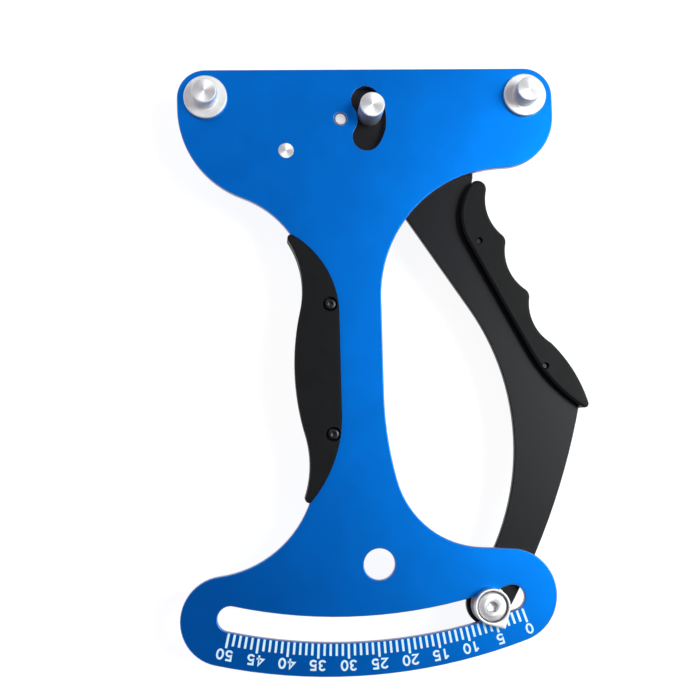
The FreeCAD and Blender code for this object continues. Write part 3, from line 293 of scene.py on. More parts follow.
def black_moulded_nylon():
    """Glass-filled nylon from a spark-eroded mould: matte black with a fine pebbled grain."""
    material, tree, shader = new_material("black_moulded_nylon", {
        "Metallic": 0.0, "IOR": 1.53, "Specular IOR Level": 0.14})
    place = add_node(tree, "ShaderNodeTexCoord").outputs["Object"]
    pebble = add_node(tree, "ShaderNodeTexVoronoi", inputs={
        "Vector": place, "Scale": 1 / (0.32 * MM), "Randomness": 1.0})
    flow = add_node(tree, "ShaderNodeTexNoise", inputs={
        "Vector": place, "Scale": 1 / (6.0 * MM), "Detail": 3.0, "Roughness": 0.5})
    lay_finish(tree, shader, (flow.outputs["Fac"], "050506", "080809"),
               (flow.outputs["Fac"], 0.46, 0.56), (pebble.outputs["Distance"], 0.03, 0.6))
    return material


def turned_steel(name, dark, light, smooth, rough, swirl):
    """Lathe-turned steel: fine tool rings run round the axis and fan the light into a sunburst.

    Real tool rings are finer than the view can show, so they are drawn this coarse.
    """
    material, tree, shader = new_material(name, {"Metallic": 1.0, "Anisotropic": swirl})
    turning = add_node(tree, "ShaderNodeUVMap", {"uv_map": "turning"})
    along = add_node(tree, "ShaderNodeSeparateXYZ", inputs={"Vector": turning.outputs["UV"]})
    rings = add_node(tree, "ShaderNodeTexNoise", {"noise_dimensions": "1D"}, {
        "W": along.outputs["Y"], "Scale": 1 / (0.14 * MM), "Detail": 3.0, "Roughness": 0.6})
    place = add_node(tree, "ShaderNodeTexCoord").outputs["Object"]
    stain = add_node(tree, "ShaderNodeTexNoise", inputs={
        "Vector": place, "Scale": 1 / (2.2 * MM), "Detail": 3.0, "Roughness": 0.5})
    lay_finish(tree, shader, (stain.outputs["Fac"], dark, light),
               (rings.outputs["Fac"], smooth, rough), (rings.outputs["Fac"], 0.004, 0.5))
    tangent = add_node(tree, "ShaderNodeTangent", {"direction_type": "UV_MAP", "uv_map": "turning"})
    # the faced end fans the light; what lies further along the profile is finished smoother
    fan = add_node(tree, "ShaderNodeMapRange", inputs={
        "Value": along.outputs["Y"], "From Min": FACED_END * MM, "From Max": PLAIN_START * MM,
        "To Min": swirl, "To Max": swirl * 0.25})
    set_inputs(shader, {"Tangent": tangent.outputs["Tangent"], "Anisotropic": fan.outputs["Result"]})
    return material


def bright_turned_steel():
    """Bare turned steel: pale and silky, with a soft sunburst on its faced ends."""
    return turned_steel("bright_turned_steel", "D7D6D5", "E1E0DF", 0.5, 0.62, 0.6)


def black_oxide_steel():
    """Turned steel under black oxide: dark grey, with a tight oily shine."""
    return turned_steel("black_oxide_steel", "2A2A2C", "38383A", 0.28, 0.4, 0.3)


def stamped_steel():
    """Zinc-plated stamped steel: bright and slightly milky, with tumbling marks."""
    material, tree, shader = new_material("stamped_steel", {"Metallic": 1.0})
    place = add_node(tree, "ShaderNodeTexCoord").outputs["Object"]
    tumble = add_node(tree, "ShaderNodeTexNoise", inputs={
        "Vector": place, "Scale": 1 / (0.5 * MM), "Detail": 3.0, "Roughness": 0.6})
    cloud = add_node(tree, "ShaderNodeTexNoise", inputs={
        "Vector": place, "Scale": 1 / (3.0 * MM), "Detail": 2.0, "Roughness": 0.5})
    lay_finish(tree, shader, (cloud.outputs["Fac"], "B9BBBC", "CFD0D0"),
               (tumble.outputs["Fac"], 0.26, 0.38), (tumble.outputs["Fac"], 0.006, 0.5))
    return material


def drawn_spring_wire():
    """Oil-tempered music wire: dark steel with faint draw lines along the wire.

    Real draw lines are finer than the view can show, so they are drawn this coarse.
    """
    material, tree, shader = new_material("drawn_spring_wire", {"Metallic": 1.0})
    wire = add_node(tree, "ShaderNodeUVMap", {"uv_map": "wire"})
    drawn = add_node(tree, "ShaderNodeMapping", inputs={
        "Vector": wire.outputs["UV"], "Scale": (60, 120, 1)})
    lines = add_node(tree, "ShaderNodeTexNoise", inputs={
        "Vector": drawn.outputs["Vector"], "Scale": 1.0, "Detail": 3.0})
    lay_finish(tree, shader, (lines.outputs["Fac"], "6C6B6A", "8A8988"),
               (lines.outputs["Fac"], 0.28, 0.42), (lines.outputs["Fac"], 0.008, 0.4))
    return material


def sintered_bronze():
    """Oil-filled sintered bronze: warm brown metal peppered with tiny pores."""
    material, tree, shader = new_material("sintered_bronze", {"Metallic": 1.0})
    place = add_node(tree, "ShaderNodeTexCoord").outputs["Object"]
    pores = add_node(tree, "ShaderNodeTexVoronoi", inputs={
        "Vector": place, "Scale": 1 / (0.22 * MM)}).outputs["Distance"]
    share = add_node(tree, "ShaderNodeMapRange", inputs={
        "Value": pores, "From Min": 0.12, "From Max": 0.3})
    base = add_node(tree, "ShaderNodeMix", {"data_type": "RGBA"}, {
        "Factor": share.outputs["Result"], "A": colour("4A3318"), "B": colour("A9803F")})
    sheen = add_node(tree, "ShaderNodeMapRange", inputs={
        "Value": pores, "From Min": 0.1, "From Max": 0.4, "To Min": 0.55, "To Max": 0.36})
    bumps = add_node(tree, "ShaderNodeBump", inputs={
        "Height": pores, "Distance": 0.02 * MM, "Strength": 0.4})
    set_inputs(shader, {"Base Color": base.outputs["Result"], "Roughness": sheen.outputs["Result"],
                        "Normal": bumps.outputs["Normal"]})
    return material


def natural_nylon():
    """Stamped natural nylon: milky, waxy and slightly see-through."""
    material, tree, shader = new_material("natural_nylon", {
        "Metallic": 0.0, "IOR": 1.53, "Subsurface Weight": 0.3, "Subsurface Scale": 0.6 * MM})
    place = add_node(tree, "ShaderNodeTexCoord").outputs["Object"]
    milk = add_node(tree, "ShaderNodeTexNoise", inputs={
        "Vector": place, "Scale": 1 / (1.4 * MM), "Detail": 2.0, "Roughness": 0.5})
    lay_finish(tree, shader, (milk.outputs["Fac"], "E4E1D6", "EFEDE4"),
               (milk.outputs["Fac"], 0.38, 0.5), (milk.outputs["Fac"], 0.02, 0.3))
    return material


def screen_print_ink():
    """Screen-printed epoxy ink: an even cool white, a little glossier than the metal beneath."""
    material, tree, shader = new_material("screen_print_ink", {"Metallic": 0.0, "IOR": 1.5})
    place = add_node(tree, "ShaderNodeTexCoord").outputs["Object"]
    weave = add_node(tree, "ShaderNodeTexNoise", inputs={
        "Vector": place, "Scale": 1 / (0.12 * MM), "Detail": 1.0, "Roughness": 0.5})
    lay_finish(tree, shader, (weave.outputs["Fac"], "CDEBFA", "DCF3FC"),
               (weave.outputs["Fac"], 0.35, 0.45), (weave.outputs["Fac"], 0.004, 0.4))
    return material


BLUE = blue_anodised_aluminium()
COATED = black_coated_steel()
NYLON = black_moulded_nylon()
BRIGHT = bright_turned_steel()
OXIDE = black_oxide_steel()
STAMPED = stamped_steel()
WIRE = drawn_spring_wire()
BRONZE = sintered_bronze()
MILKY = natural_nylon()
INK = screen_print_ink()


# ---------------------------------------------------------------- making pieces

SIDES = 96  # steps round a turned piece
SHARP_TURNED = 32  # degrees past which a turned piece's edge stays sharp
SHARP_PLATE = 28
SHARP_WIRE = 40


def linked(name, mesh):
    piece = bpy.data.objects.new(name, mesh)
    bpy.context.scene.collection.objects.link(piece)
    return piece


def mesh_from(shell, name):
    """The finished shell as a mesh."""
    mesh = bpy.data.meshes.new(name)
    shell.to_mesh(mesh)
    shell.free()
    return mesh


def plain_copy(piece, name):
    """The piece with its modifiers worked in, as a plain mesh of its own."""
    ready = piece.evaluated_get(bpy.context.evaluated_depsgraph_get())
    mesh = bpy.data.meshes.new_from_object(ready)
    mesh.name = name
    bpy.data.objects.remove(piece)
    return linked(name, mesh)


def smoothed(mesh, angle):
    mesh.shade_smooth()
    mesh.set_sharp_from_angle(angle=math.radians(angle))


def finish_piece(piece, material, slot, body, *nodes):
    """Gives the piece its finish, lets it ride and stand for its CAD nodes."""
    piece.data.materials.clear()
    piece.data.materials.append(material)
    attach(piece, body)
    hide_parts(*nodes)
    return piece


def centre_of(node):
    low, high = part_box(node)
    middle = (low + high) / 2 / MM
    return middle.x, middle.y


def levels_of(node):
    low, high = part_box(node)
    return low.z / MM, high.z / MM


def softened(node, name, round_mm):
    """The node's own shape as one clean shell with its sharp edges broken by a small round."""
    shell = bmesh.new()
    shell.from_mesh(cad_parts[node].data)
    bmesh.ops.remove_doubles(shell, verts=shell.verts, dist=1e-7)
    bmesh.ops.dissolve_limit(shell, angle_limit=math.radians(0.4), verts=shell.verts, edges=shell.edges)
    mesh = mesh_from(shell, name)
    smoothed(mesh, SHARP_PLATE)
    piece = linked(name, mesh)
    bevel = piece.modifiers.new("edge_break", "BEVEL")
    bevel.width = round_mm * MM
    bevel.segments = 2
    bevel.limit_method = "ANGLE"
    bevel.angle_limit = math.radians(SHARP_PLATE)
    bevel.harden_normals = True
    return plain_copy(piece, name)


def hexagon(across):
    """Distance from the axis to a hexagon's side, by angle."""
    def distance(angle):
        return across / 2 / math.cos((angle % (math.pi / 3)) - math.pi / 6)
    return distance


def rounded(corners):
    """A profile of (radius, level, round) corners with each corner's round worked in."""
    points = []
    for k, (r, z, ease) in enumerate(corners):
        here = Vector((r, z))
        if ease == 0 or k in (0, len(corners) - 1):
            points.append((r, z))
            continue
        before = Vector(corners[k - 1][:2]) - here
        after = Vector(corners[k + 1][:2]) - here
        start = here + before.normalized() * min(ease, before.length * 0.45)
        end = here + after.normalized() * min(ease, after.length * 0.45)
        for step in range(5):
            t = step / 4
            spot = start * (1 - t) ** 2 + here * (2 * t * (1 - t)) + end * t ** 2
            points.append((spot.x, spot.y))
    return points


def loft(name, rings, distances, map_name, keep_sharp, closed=False, pole_turn=0.5):
    """A shell through rings of points, where a ring of one point is a pole.

    Its map runs round the rings in u, and by each ring's distance along the piece in v.
    pole_turn is where a pole's corner lies within a step round the rings.
    """
    shell = bmesh.new()
    uv_map = shell.loops.layers.uv.new(map_name)
    loops = [[shell.verts.new(point) for point in ring] for ring in rings]
    count = max(len(ring) for ring in rings)
    pairs = zip(loops, loops[1:] + (loops[:1] if closed else []))
    for index, (first, second) in enumerate(pairs):
        if len(first) == 1 and len(second) == 1:
            continue
        near, far = distances[index], distances[index + 1]
        for k in range(count):
            after = (k + 1) % count
            if len(first) == 1:
                corners = [(first[0], k + pole_turn, near), (second[k], k, far),
                           (second[after], k + 1, far)]
            elif len(second) == 1:
                corners = [(first[k], k, near), (second[0], k + pole_turn, far),
                           (first[after], k + 1, near)]
            else:
                corners = [(first[k], k, near), (second[k], k, far),
                           (second[after], k + 1, far), (first[after], k + 1, near)]
            face = shell.faces.new([corner[0] for corner in corners])
            for loop, (_, turn, distance) in zip(face.loops, corners):
                loop[uv_map].uv = (turn / count, distance)
    bmesh.ops.recalc_face_normals(shell, faces=shell.faces)
    mesh = mesh_from(shell, name)
    smoothed(mesh, keep_sharp)
    return linked(name, mesh)


def lathe(name, centre, profile, angles=None, closed=False):
    """A turned shell; a profile's distance from the axis is a number, or goes by angle."""
    angles = angles or [2 * math.pi * k / SIDES for k in range(SIDES)]
    rings = []
    for distance, level in profile:
        if distance == 0:
            rings.append([mm(*centre, level)])
            continue
        ring = []
        for angle in angles:
            far = distance(angle) if callable(distance) else distance
            ring.append(mm(centre[0] + far * math.cos(angle), centre[1] + far * math.sin(angle), level))
        rings.append(ring)
    distances = [0.0]
    for first, second in zip(rings, rings[1:] + rings[:1]):
        distances.append(distances[-1] + (second[0] - first[0]).length)
    return loft(name, rings, distances, "turning", SHARP_TURNED, closed)


# ---------------------------------------------------------------- plates and grips

def frame_plate():
    piece = softened("frame_plate", "blue_frame_plate", PLATE_ROUND)
    return finish_piece(piece, BLUE, "blue_anodised_aluminium", "frame", "frame_plate")


def lever_plate():
    piece = softened("lever_plate", "black_lever_plate", LEVER_ROUND)
    return finish_piece(piece, COATED, "black_coated_steel", "lever", "lever_plate")


def palm_grip():
    piece = softened("palm_grip", "palm_side_grip", GRIP_ROUND)
    return finish_piece(piece, NYLON, "black_nylon", "frame", "palm_grip")


def finger_grip():
    piece = softened("finger_grip", "finger_side_grip", GRIP_ROUND)
    return finish_piece(piece, NYLON, "black_nylon", "lever", "finger_grip")


# ---------------------------------------------------------------- turned pieces

def post_head():
    """The corners that both kinds of post share: the faced top and its chamfer."""
    return [(0, POST_TOP, 0), (POST_RADIUS - POST_CHAMFER, POST_TOP, EASE),
            (POST_RADIUS, POST_TOP - POST_CHAMFER, EASE)]


def fixed_post(side):
    """Plain round post on its flange, with a spigot that sits in the plate and a bore for its screw."""
    node = f"{side}_fixed_post"
    profile = rounded(post_head() + [
        (POST_RADIUS, POST_FOOT, EASE), (POST_RADIUS + 0.14, 0.0, 0.05),
        (FLANGE_RADIUS - FLANGE_CHAMFER, 0.0, 0.12), (FLANGE_RADIUS, -FLANGE_CHAMFER, 0.12),
        (FLANGE_RADIUS, PLATE_FRONT, 0.04), (SPIGOT_RADIUS, PLATE_FRONT, 0),
        (SPIGOT_RADIUS, PLATE_BACK, EASE), (POST_BORE, PLATE_BACK, EASE),
        (POST_BORE, FIXED_BORE_END, 0), (0, FIXED_BORE_TIP, 0)])
    piece = lathe(f"{side}_rest_post", centre_of(node), profile)
    return finish_piece(piece, BRIGHT, "bright_steel", "frame", node)


def moving_post():
    profile = rounded(post_head() + [
        (POST_RADIUS, LEVER_FRONT, EASE), (POST_BORE, LEVER_FRONT, EASE),
        (POST_BORE, MOVING_BORE_END, 0), (0, MOVING_BORE_TIP, 0)])
    piece = lathe("moving_rest_post", centre_of("moving_post"), profile)
    return finish_piece(piece, BRIGHT, "bright_steel", "lever", "moving_post")


def flat_washer(node, name, bore, material, slot, body, ease=0.12):
    """Punched ring: its outer rim is rounded, and its bore is eased in front."""
    low, high = levels_of(node)
    left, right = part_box(node)
    outer = (right.x - left.x) / 2 / MM
    profile = [(bore, low), (bore + ease * 0.5, high - ease * 0.2), (bore + ease, high),
               (outer - ease, high), (outer - ease * 0.3, high - ease * 0.3), (outer, high - ease),
               (outer, low + ease), (outer - ease * 0.3, low + ease * 0.3), (outer - ease, low)]
    piece = lathe(name, centre_of(node), profile, closed=True)
    return finish_piece(piece, material, slot, body, node)


def socket_screw(node, name, size, seat, facing, material, slot, body):
    """Domed head with a hexagon socket; facing is 1 where the head looks forward, -1 to the rear."""
    shank, head, height, across = (size[key] for key in ("shank", "head", "height", "across"))
    end = -size["length"]
    crown = seat + height * facing
    socket_rim = across / math.sqrt(3) + 0.18
    profile = [(0, crown - facing * height * 0.78), (hexagon(across * 0.98), crown - facing * height * 0.6),
               (hexagon(across), crown - facing * 0.22), (socket_rim, crown - facing * 0.02)]
    dome = [(socket_rim + 0.02, height, 0), (head * 0.6, height, 0.1), (head * 0.86, height * 0.9, 0.3),
            (head * 0.97, height * 0.7, 0.3), (head, height * 0.35, 0.2), (head, 0, 0.08),
            (shank, 0, 0), (shank, end + shank * 0.24, 0), (shank * 0.75, end, 0), (0, end, 0)]
    profile += rounded([(r, seat + out * facing, ease) for r, out, ease in dome])
    piece = lathe(name, centre_of(node), profile)
    return finish_piece(piece, material, slot, body, node)


def screws():
    for side in ("left", "right"):
        socket_screw(f"{side}_post_screw", f"{side}_rest_post_screw", POST_SCREW, POST_SCREW_SEAT, -1,
                     OXIDE, "dark_steel", "frame")
    socket_screw("pointer_screw", "pointer_button_screw", POINTER_SCREW, POINTER_SCREW_SEAT, 1,
                 BRIGHT, "bright_steel", "lever")
    for place in ("upper", "lower"):
        socket_screw(f"palm_grip_{place}_screw", f"palm_{place}_screw", PALM_SCREW, PALM_SCREW_SEAT, 1,
                     OXIDE, "dark_steel", "frame")
        socket_screw(f"finger_grip_{place}_screw", f"finger_{place}_screw", FINGER_SCREW,
                     FINGER_SCREW_SEAT, -1, OXIDE, "dark_steel", "lever")


def countersunk_screw():
    """Flush head in the lever's rear face, under the moving post."""
    profile = [(0, FLUSH_SOCKET_END), (hexagon(FLUSH_SOCKET - 0.05), FLUSH_SOCKET_END - 0.55),
               (hexagon(FLUSH_SOCKET), LEVER_BACK + 0.15), (1.58, LEVER_BACK)]
    profile += rounded([(1.6, LEVER_BACK, 0), (FLUSH_HEAD, LEVER_BACK, 0.05), (FLUSH_SHANK, FLUSH_NECK, 0.1),
                        (FLUSH_SHANK, MOVING_BORE_END, 0.2), (0, MOVING_BORE_END, 0)])
    piece = lathe("moving_post_flush_screw", centre_of("moving_post_screw"), profile)
    return finish_piece(piece, OXIDE, "dark_steel", "lever", "moving_post_screw")


def pivot_screw():
    """Shoulder screw: its thread's bare bright tip shows in front, its cap head at the rear."""
    crown = SHOULDER_CROWN
    profile = [(0, crown + SHOULDER_SOCKET_DEPTH), (hexagon(SHOULDER_SOCKET - 0.1), crown + 2.1),
               (hexagon(SHOULDER_SOCKET), crown + 0.25), (2.55, crown)]
    profile += rounded([
        (2.57, crown, 0), (SHOULDER_HEAD - SHOULDER_HEAD_EDGE, crown, 0.15),
        (SHOULDER_HEAD, crown + SHOULDER_HEAD_EDGE, 0.2), (SHOULDER_HEAD, SHOULDER_SEAT, EASE),
        (SHOULDER_RADIUS, SHOULDER_SEAT, 0), (SHOULDER_RADIUS, PLATE_BACK, 0), (THREAD_RADIUS, PLATE_BACK, 0),
        (THREAD_RADIUS, THREAD_CHAMFER_START, EASE), (THREAD_TIP_RADIUS, THREAD_TIP, 0.08),
        (0, THREAD_TIP, 0)])
    piece = lathe("pivot_shoulder_screw", PIVOT, profile)
    return finish_piece(piece, BRIGHT, "dark_steel", "frame", "pivot_screw")


def anchor_pin():
    """Pin with its clip groove near the rear end."""
    low, high = levels_of("spring_anchor_pin")
    clip_low, clip_high = levels_of("anchor_clip")
    groove_low = clip_low - GROOVE_ROOM
    groove_high = clip_high + GROOVE_ROOM
    profile = rounded([
        (0, high, 0), (PIN_RADIUS - PIN_EDGE, high, 0.06), (PIN_RADIUS, high - PIN_EDGE, 0.06),
        (PIN_RADIUS, groove_high, 0.05), (PIN_GROOVE, groove_high, 0), (PIN_GROOVE, groove_low, 0),
        (PIN_RADIUS, groove_low, 0.05), (PIN_RADIUS, low + PIN_TAIL_EDGE, 0.15),
        (PIN_RADIUS - PIN_TAIL_EDGE, low, 0.15), (0, low, 0)])
    piece = lathe("spring_rest_pin", centre_of("spring_anchor_pin"), profile)
    return finish_piece(piece, BRIGHT, "bright_steel", "frame", "spring_anchor_pin")


def anchor_clip():
    piece = softened("anchor_clip", "open_retaining_clip", CLIP_ROUND)
    return finish_piece(piece, STAMPED, "dark_steel", "frame", "anchor_clip")


def washers():
    for side in ("left", "right"):
        flat_washer(f"{side}_post_washer", f"{side}_rest_post_washer", POST_WASHER_BORE,
                    STAMPED, "bright_steel", "frame")
    for side in ("front", "rear"):
        flat_washer(f"pivot_{side}_washer", f"{side}_bearing_washer", PIVOT_WASHER_BORE,
                    MILKY, "nylon_washer", "frame", 0.06)
    flat_washer("spring_cap_washer", "spring_end_washer", PIVOT_WASHER_BORE,
                STAMPED, "bright_steel", "frame")
    flat_washer("spring_guide_sleeve", "coil_guide_sleeve", PIVOT_WASHER_BORE,
                MILKY, "nylon_washer", "frame", 0.2)
    flat_washer("lever_bush", "lever_bearing_bush", BUSH_BORE, BRONZE, "bronze", "lever")
    flat_washer("lever_glide_washer", "lever_slide_washer", GLIDE_BORE,
                MILKY, "nylon_washer", "lever", 0.05)
    flat_washer("pointer_spacer", "pointer_hub", POINTER_BORE, STAMPED, "bright_steel", "lever", 0.1)


# ---------------------------------------------------------------- pointer

def teardrop(inset):
    """Distance from the hub to the pointer's outline, by angle, drawn in by an inset."""
    radius = POINTER_RADIUS - inset
    tip = max(POINTER_TIP - inset, SHARPEST_TIP)
    reach = POINTER_REACH + POINTER_TIP - inset - tip
    flank = math.acos((radius - tip) / reach)
    corner = math.atan2(tip * math.sin(flank), reach + tip * math.cos(flank))

    def distance(angle):
        off = abs((angle - POINTER_HEADING + math.pi) % (2 * math.pi) - math.pi)
        if off >= flank:
            return radius
        if off >= corner:
            return radius / math.cos(flank - off)
        return reach * math.cos(off) + math.sqrt(tip ** 2 - (reach * math.sin(off)) ** 2)

    return distance


def pointer_angles():
    """Even steps round the hub, and finer ones across the tip."""
    coarse = [POINTER_HEADING + math.radians(a) for a in range(12, 349, 4)]
    fine = [POINTER_HEADING + math.radians(a / 4) for a in range(-44, 45, 2)]
    return sorted(angle % (2 * math.pi) for angle in coarse + fine)


def pointer():
    """Teardrop cup with a rolled rim, open in front for the screw's head."""
    low, high = levels_of("pointer")
    floor = low + POINTER_FLOOR
    profile = [(POINTER_BORE, low)]
    profile += [(teardrop(inset), level) for inset, level in (
        (0.25, low), (0.07, low + 0.08), (0.0, low + 0.3), (0.0, high - 0.32),
        (0.04, high - 0.12), (0.16, high - 0.02), (0.3, high))]
    profile += [(CUP_RADIUS + 0.27, high), (CUP_RADIUS + 0.11, high - 0.06), (CUP_RADIUS + 0.02, high - 0.2),
                (CUP_RADIUS, high - 0.5), (CUP_RADIUS, floor + 0.15), (CUP_RADIUS - 0.1, floor),
                (POINTER_BORE, floor)]
    place = centre_of("pointer_spacer")
    piece = lathe("scale_pointer", place, profile, angles=pointer_angles(), closed=True)
    return finish_piece(piece, BRIGHT, "bright_steel", "lever", "pointer")


# ---------------------------------------------------------------- spring

def about_pivot(radius, angle):
    return PIVOT[0] + radius * math.cos(angle), PIVOT[1] + radius * math.sin(angle)


def coil_point(angle, level):
    return Vector((*about_pivot(COIL_RADIUS, angle), level))


def spring_line():
    """Centre line of the wire: frame leg at the rear, coil, lever leg bent forward into its hole."""
    start = FRAME_LEG_ANGLE
    sweep = 2 * math.pi * COIL_TURNS
    out = Vector((-math.sin(start), math.cos(start), 0))
    first = coil_point(start, COIL_REAR)
    points = [first + out * FRAME_LEG_LENGTH * (1 - k / LEG_STEPS) for k in range(LEG_STEPS)]
    steps = int(COIL_TURNS * STEPS_PER_TURN)
    for k in range(steps + 1):
        points.append(coil_point(start - sweep * k / steps, COIL_REAR + COIL_PITCH * COIL_TURNS * k / steps))
    end = start - sweep
    away = Vector((math.sin(end), -math.cos(end), 0))
    last = points[-1]
    points += [last + away * LEVER_LEG_LENGTH * k / LEG_STEPS for k in range(1, LEG_STEPS + 1)]
    corner = last + away * LEVER_LEG_LENGTH
    for k in range(1, BEND_STEPS + 1):
        bend = math.pi / 2 * k / BEND_STEPS
        rise = Vector((0, 0, LEG_BEND * (1 - math.cos(bend))))
        points.append(corner + away * LEG_BEND * math.sin(bend) + rise)
    points.append(Vector((points[-1].x, points[-1].y, LEVER_LEG_END)))
    return points


def wire_along(name, points, radius, sides=20):
    """Round wire that follows the points, with slightly rounded ends."""
    final = len(points) - 1
    ease = radius * 0.3
    side = (points[1] - points[0]).normalized().orthogonal().normalized()
    travelled = 0.0
    rings = []
    distances = []
    for k, point in enumerate(points):
        direction = (points[min(k + 1, final)] - points[max(k - 1, 0)]).normalized()
        side = (side - direction * side.dot(direction)).normalized()
        up = direction.cross(side)
        if k:
            travelled += (point - points[k - 1]).length
        # how far each ring lies past the point, and its radius, where 0 makes a pole
        stations = [(0, radius)]
        if k == 0:
            stations = [(0, 0), (0, radius - ease), (ease, radius)]
        elif k == final:
            stations = [(-ease, radius), (0, radius - ease), (0, 0)]
        for past, size in stations:
            centre = point + direction * past
            angles = [2 * math.pi * s / sides for s in range(sides)] if size else [0]
            rings.append([(centre + (side * math.cos(a) + up * math.sin(a)) * size) * MM for a in angles])
            distances.append((travelled + past) * MM)
    return loft(name, rings, distances, "wire", SHARP_WIRE, pole_turn=0.0)


def torsion_spring():
    """The return spring wound about the pivot, drawn at rest as one piece of wire."""
    piece = wire_along("wound_return_spring", spring_line(), WIRE_RADIUS)
    piece.data.materials.append(WIRE)
    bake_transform(piece)
    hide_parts("torsion_spring")
    return piece


# ---------------------------------------------------------------- printed scale

MARK_INPUTS = (
    ("Count", "NodeSocketInt", MARK_COUNT),
    ("Group", "NodeSocketInt", MARK_GROUP),
    ("Start Angle", "NodeSocketFloat", math.radians(MARK_START_ANGLE)),
    ("Sweep", "NodeSocketFloat", math.radians(MARK_SWEEP)),
    ("Inner Radius", "NodeSocketFloat", MARK_INNER_RADIUS * MM),
    ("Short Length", "NodeSocketFloat", SHORT_MARK * MM),
    ("Long Length", "NodeSocketFloat", LONG_MARK * MM),
    ("Width", "NodeSocketFloat", MARK_WIDTH * MM),
    ("Thickness", "NodeSocketFloat", INK_THICKNESS * MM),
    ("Ink", "NodeSocketMaterial", INK),
)


def scale_marks_tree():
    """Printed bars along an arc, the first of every group a long one; all sizes come in by name."""
    tree = bpy.data.node_groups.new("scale_marks", "GeometryNodeTree")
    for name, kind, _ in MARK_INPUTS:
        tree.interface.new_socket(name=name, in_out="INPUT", socket_type=kind)
    tree.interface.new_socket(name="Geometry", in_out="OUTPUT", socket_type="NodeSocketGeometry")
    given = add_node(tree, "NodeGroupInput").outputs
    index = add_node(tree, "GeometryNodeInputIndex").outputs["Index"]
    last = add_node(tree, "ShaderNodeMath", {"operation": "SUBTRACT"}, {0: given["Count"], 1: 1.0})
    share = add_node(tree, "ShaderNodeMath", {"operation": "DIVIDE"}, {0: index, 1: last.outputs["Value"]})
    angle = add_node(tree, "ShaderNodeMath", {"operation": "MULTIPLY_ADD"}, {
        0: given["Sweep"], 1: share.outputs["Value"], 2: given["Start Angle"]}).outputs["Value"]
    cosine = add_node(tree, "ShaderNodeMath", {"operation": "COSINE"}, {0: angle})
    sine = add_node(tree, "ShaderNodeMath", {"operation": "SINE"}, {0: angle})
    heading = add_node(tree, "ShaderNodeCombineXYZ", inputs={"Z": angle})
    turned = add_node(tree, "FunctionNodeEulerToRotation", inputs={"Euler": heading.outputs["Vector"]})
    in_group = add_node(tree, "ShaderNodeMath", {"operation": "MODULO"}, {0: index, 1: given["Group"]})
    is_long = add_node(tree, "ShaderNodeMath", {"operation": "COMPARE"}, {
        0: in_group.outputs["Value"], 1: 0.0, 2: 0.1}).outputs["Value"]
    is_short = add_node(tree, "ShaderNodeMath", {"operation": "SUBTRACT"}, {
        0: 1.0, 1: is_long}).outputs["Value"]
    corner = add_node(tree, "ShaderNodeMath", {"operation": "MULTIPLY"}, {0: given["Width"], 1: MARK_CORNER})
    row = add_node(tree, "GeometryNodeMeshLine", inputs={"Count": given["Count"]})
    joined = add_node(tree, "GeometryNodeJoinGeometry")
    for length, chosen in ((given["Long Length"], is_long), (given["Short Length"], is_short)):
        bar = add_node(tree, "GeometryNodeCurvePrimitiveQuadrilateral", inputs={
            "Width": length, "Height": given["Width"]})
        eased = add_node(tree, "GeometryNodeFilletCurve", {"mode": "POLY"}, {
            "Curve": bar.outputs["Curve"], "Count": 2, "Radius": corner.outputs["Value"]})
        filled = add_node(tree, "GeometryNodeFillCurve", {"mode": "NGONS"}, {"Curve": eased.outputs["Curve"]})
        raised = add_node(tree, "GeometryNodeExtrudeMesh", inputs={
            "Mesh": filled.outputs["Mesh"], "Offset Scale": given["Thickness"], "Individual": False})
        half = add_node(tree, "ShaderNodeMath", {"operation": "MULTIPLY"}, {0: length, 1: 0.5})
        middle = add_node(tree, "ShaderNodeMath", {"operation": "ADD"}, {
            0: given["Inner Radius"], 1: half.outputs["Value"]}).outputs["Value"]
        x = add_node(tree, "ShaderNodeMath", {"operation": "MULTIPLY"}, {
            0: middle, 1: cosine.outputs["Value"]})
        y = add_node(tree, "ShaderNodeMath", {"operation": "MULTIPLY"}, {
            0: middle, 1: sine.outputs["Value"]})
        place = add_node(tree, "ShaderNodeCombineXYZ", inputs={
            "X": x.outputs["Value"], "Y": y.outputs["Value"]})
        spots = add_node(tree, "GeometryNodeSetPosition", inputs={
            "Geometry": row.outputs["Mesh"], "Position": place.outputs["Vector"]})
        bars = add_node(tree, "GeometryNodeInstanceOnPoints", inputs={
            "Points": spots.outputs["Geometry"], "Selection": chosen, "Instance": raised.outputs["Mesh"],
            "Rotation": turned.outputs["Rotation"]})
        set_inputs(joined, {"Geometry": bars.outputs["Instances"]})
    real = add_node(tree, "GeometryNodeRealizeInstances", inputs={"Geometry": joined.outputs["Geometry"]})
    inked = add_node(tree, "GeometryNodeSetMaterial", inputs={
        "Geometry": real.outputs["Geometry"], "Material": given["Ink"]})
    add_node(tree, "NodeGroupOutput", inputs={"Geometry": inked.outputs["Geometry"]})
    return tree


def scale_marks():
    carrier = linked("scale_marks_carrier", bpy.data.meshes.new("scale_marks_carrier"))
    modifier = carrier.modifiers.new("marks", "NODES")
    modifier.node_group = scale_marks_tree()
    values = {name: value for name, _, value in MARK_INPUTS}
    for socket in modifier.node_group.interface.items_tree:
        if socket.in_out == "INPUT":
            modifier[socket.identifier] = values[socket.name]
    piece = plain_copy(carrier, "printed_scale_marks")
    piece.data.transform(Matrix.Translation(mm(*PIVOT, PRINT_LEVEL)))
    piece.data.shade_flat()
    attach(piece, "frame")
    return piece


def turn_through(centre, radius, start, end, steps=14):
    """Points of an arc from one angle to another, in degrees."""
    points = []
    for k in range(steps + 1):
        angle = math.radians(start + (end - start) * k / steps)
        points.append((centre[0] + radius[0] * math.cos(angle), centre[1] + radius[1] * math.sin(angle)))
    return points


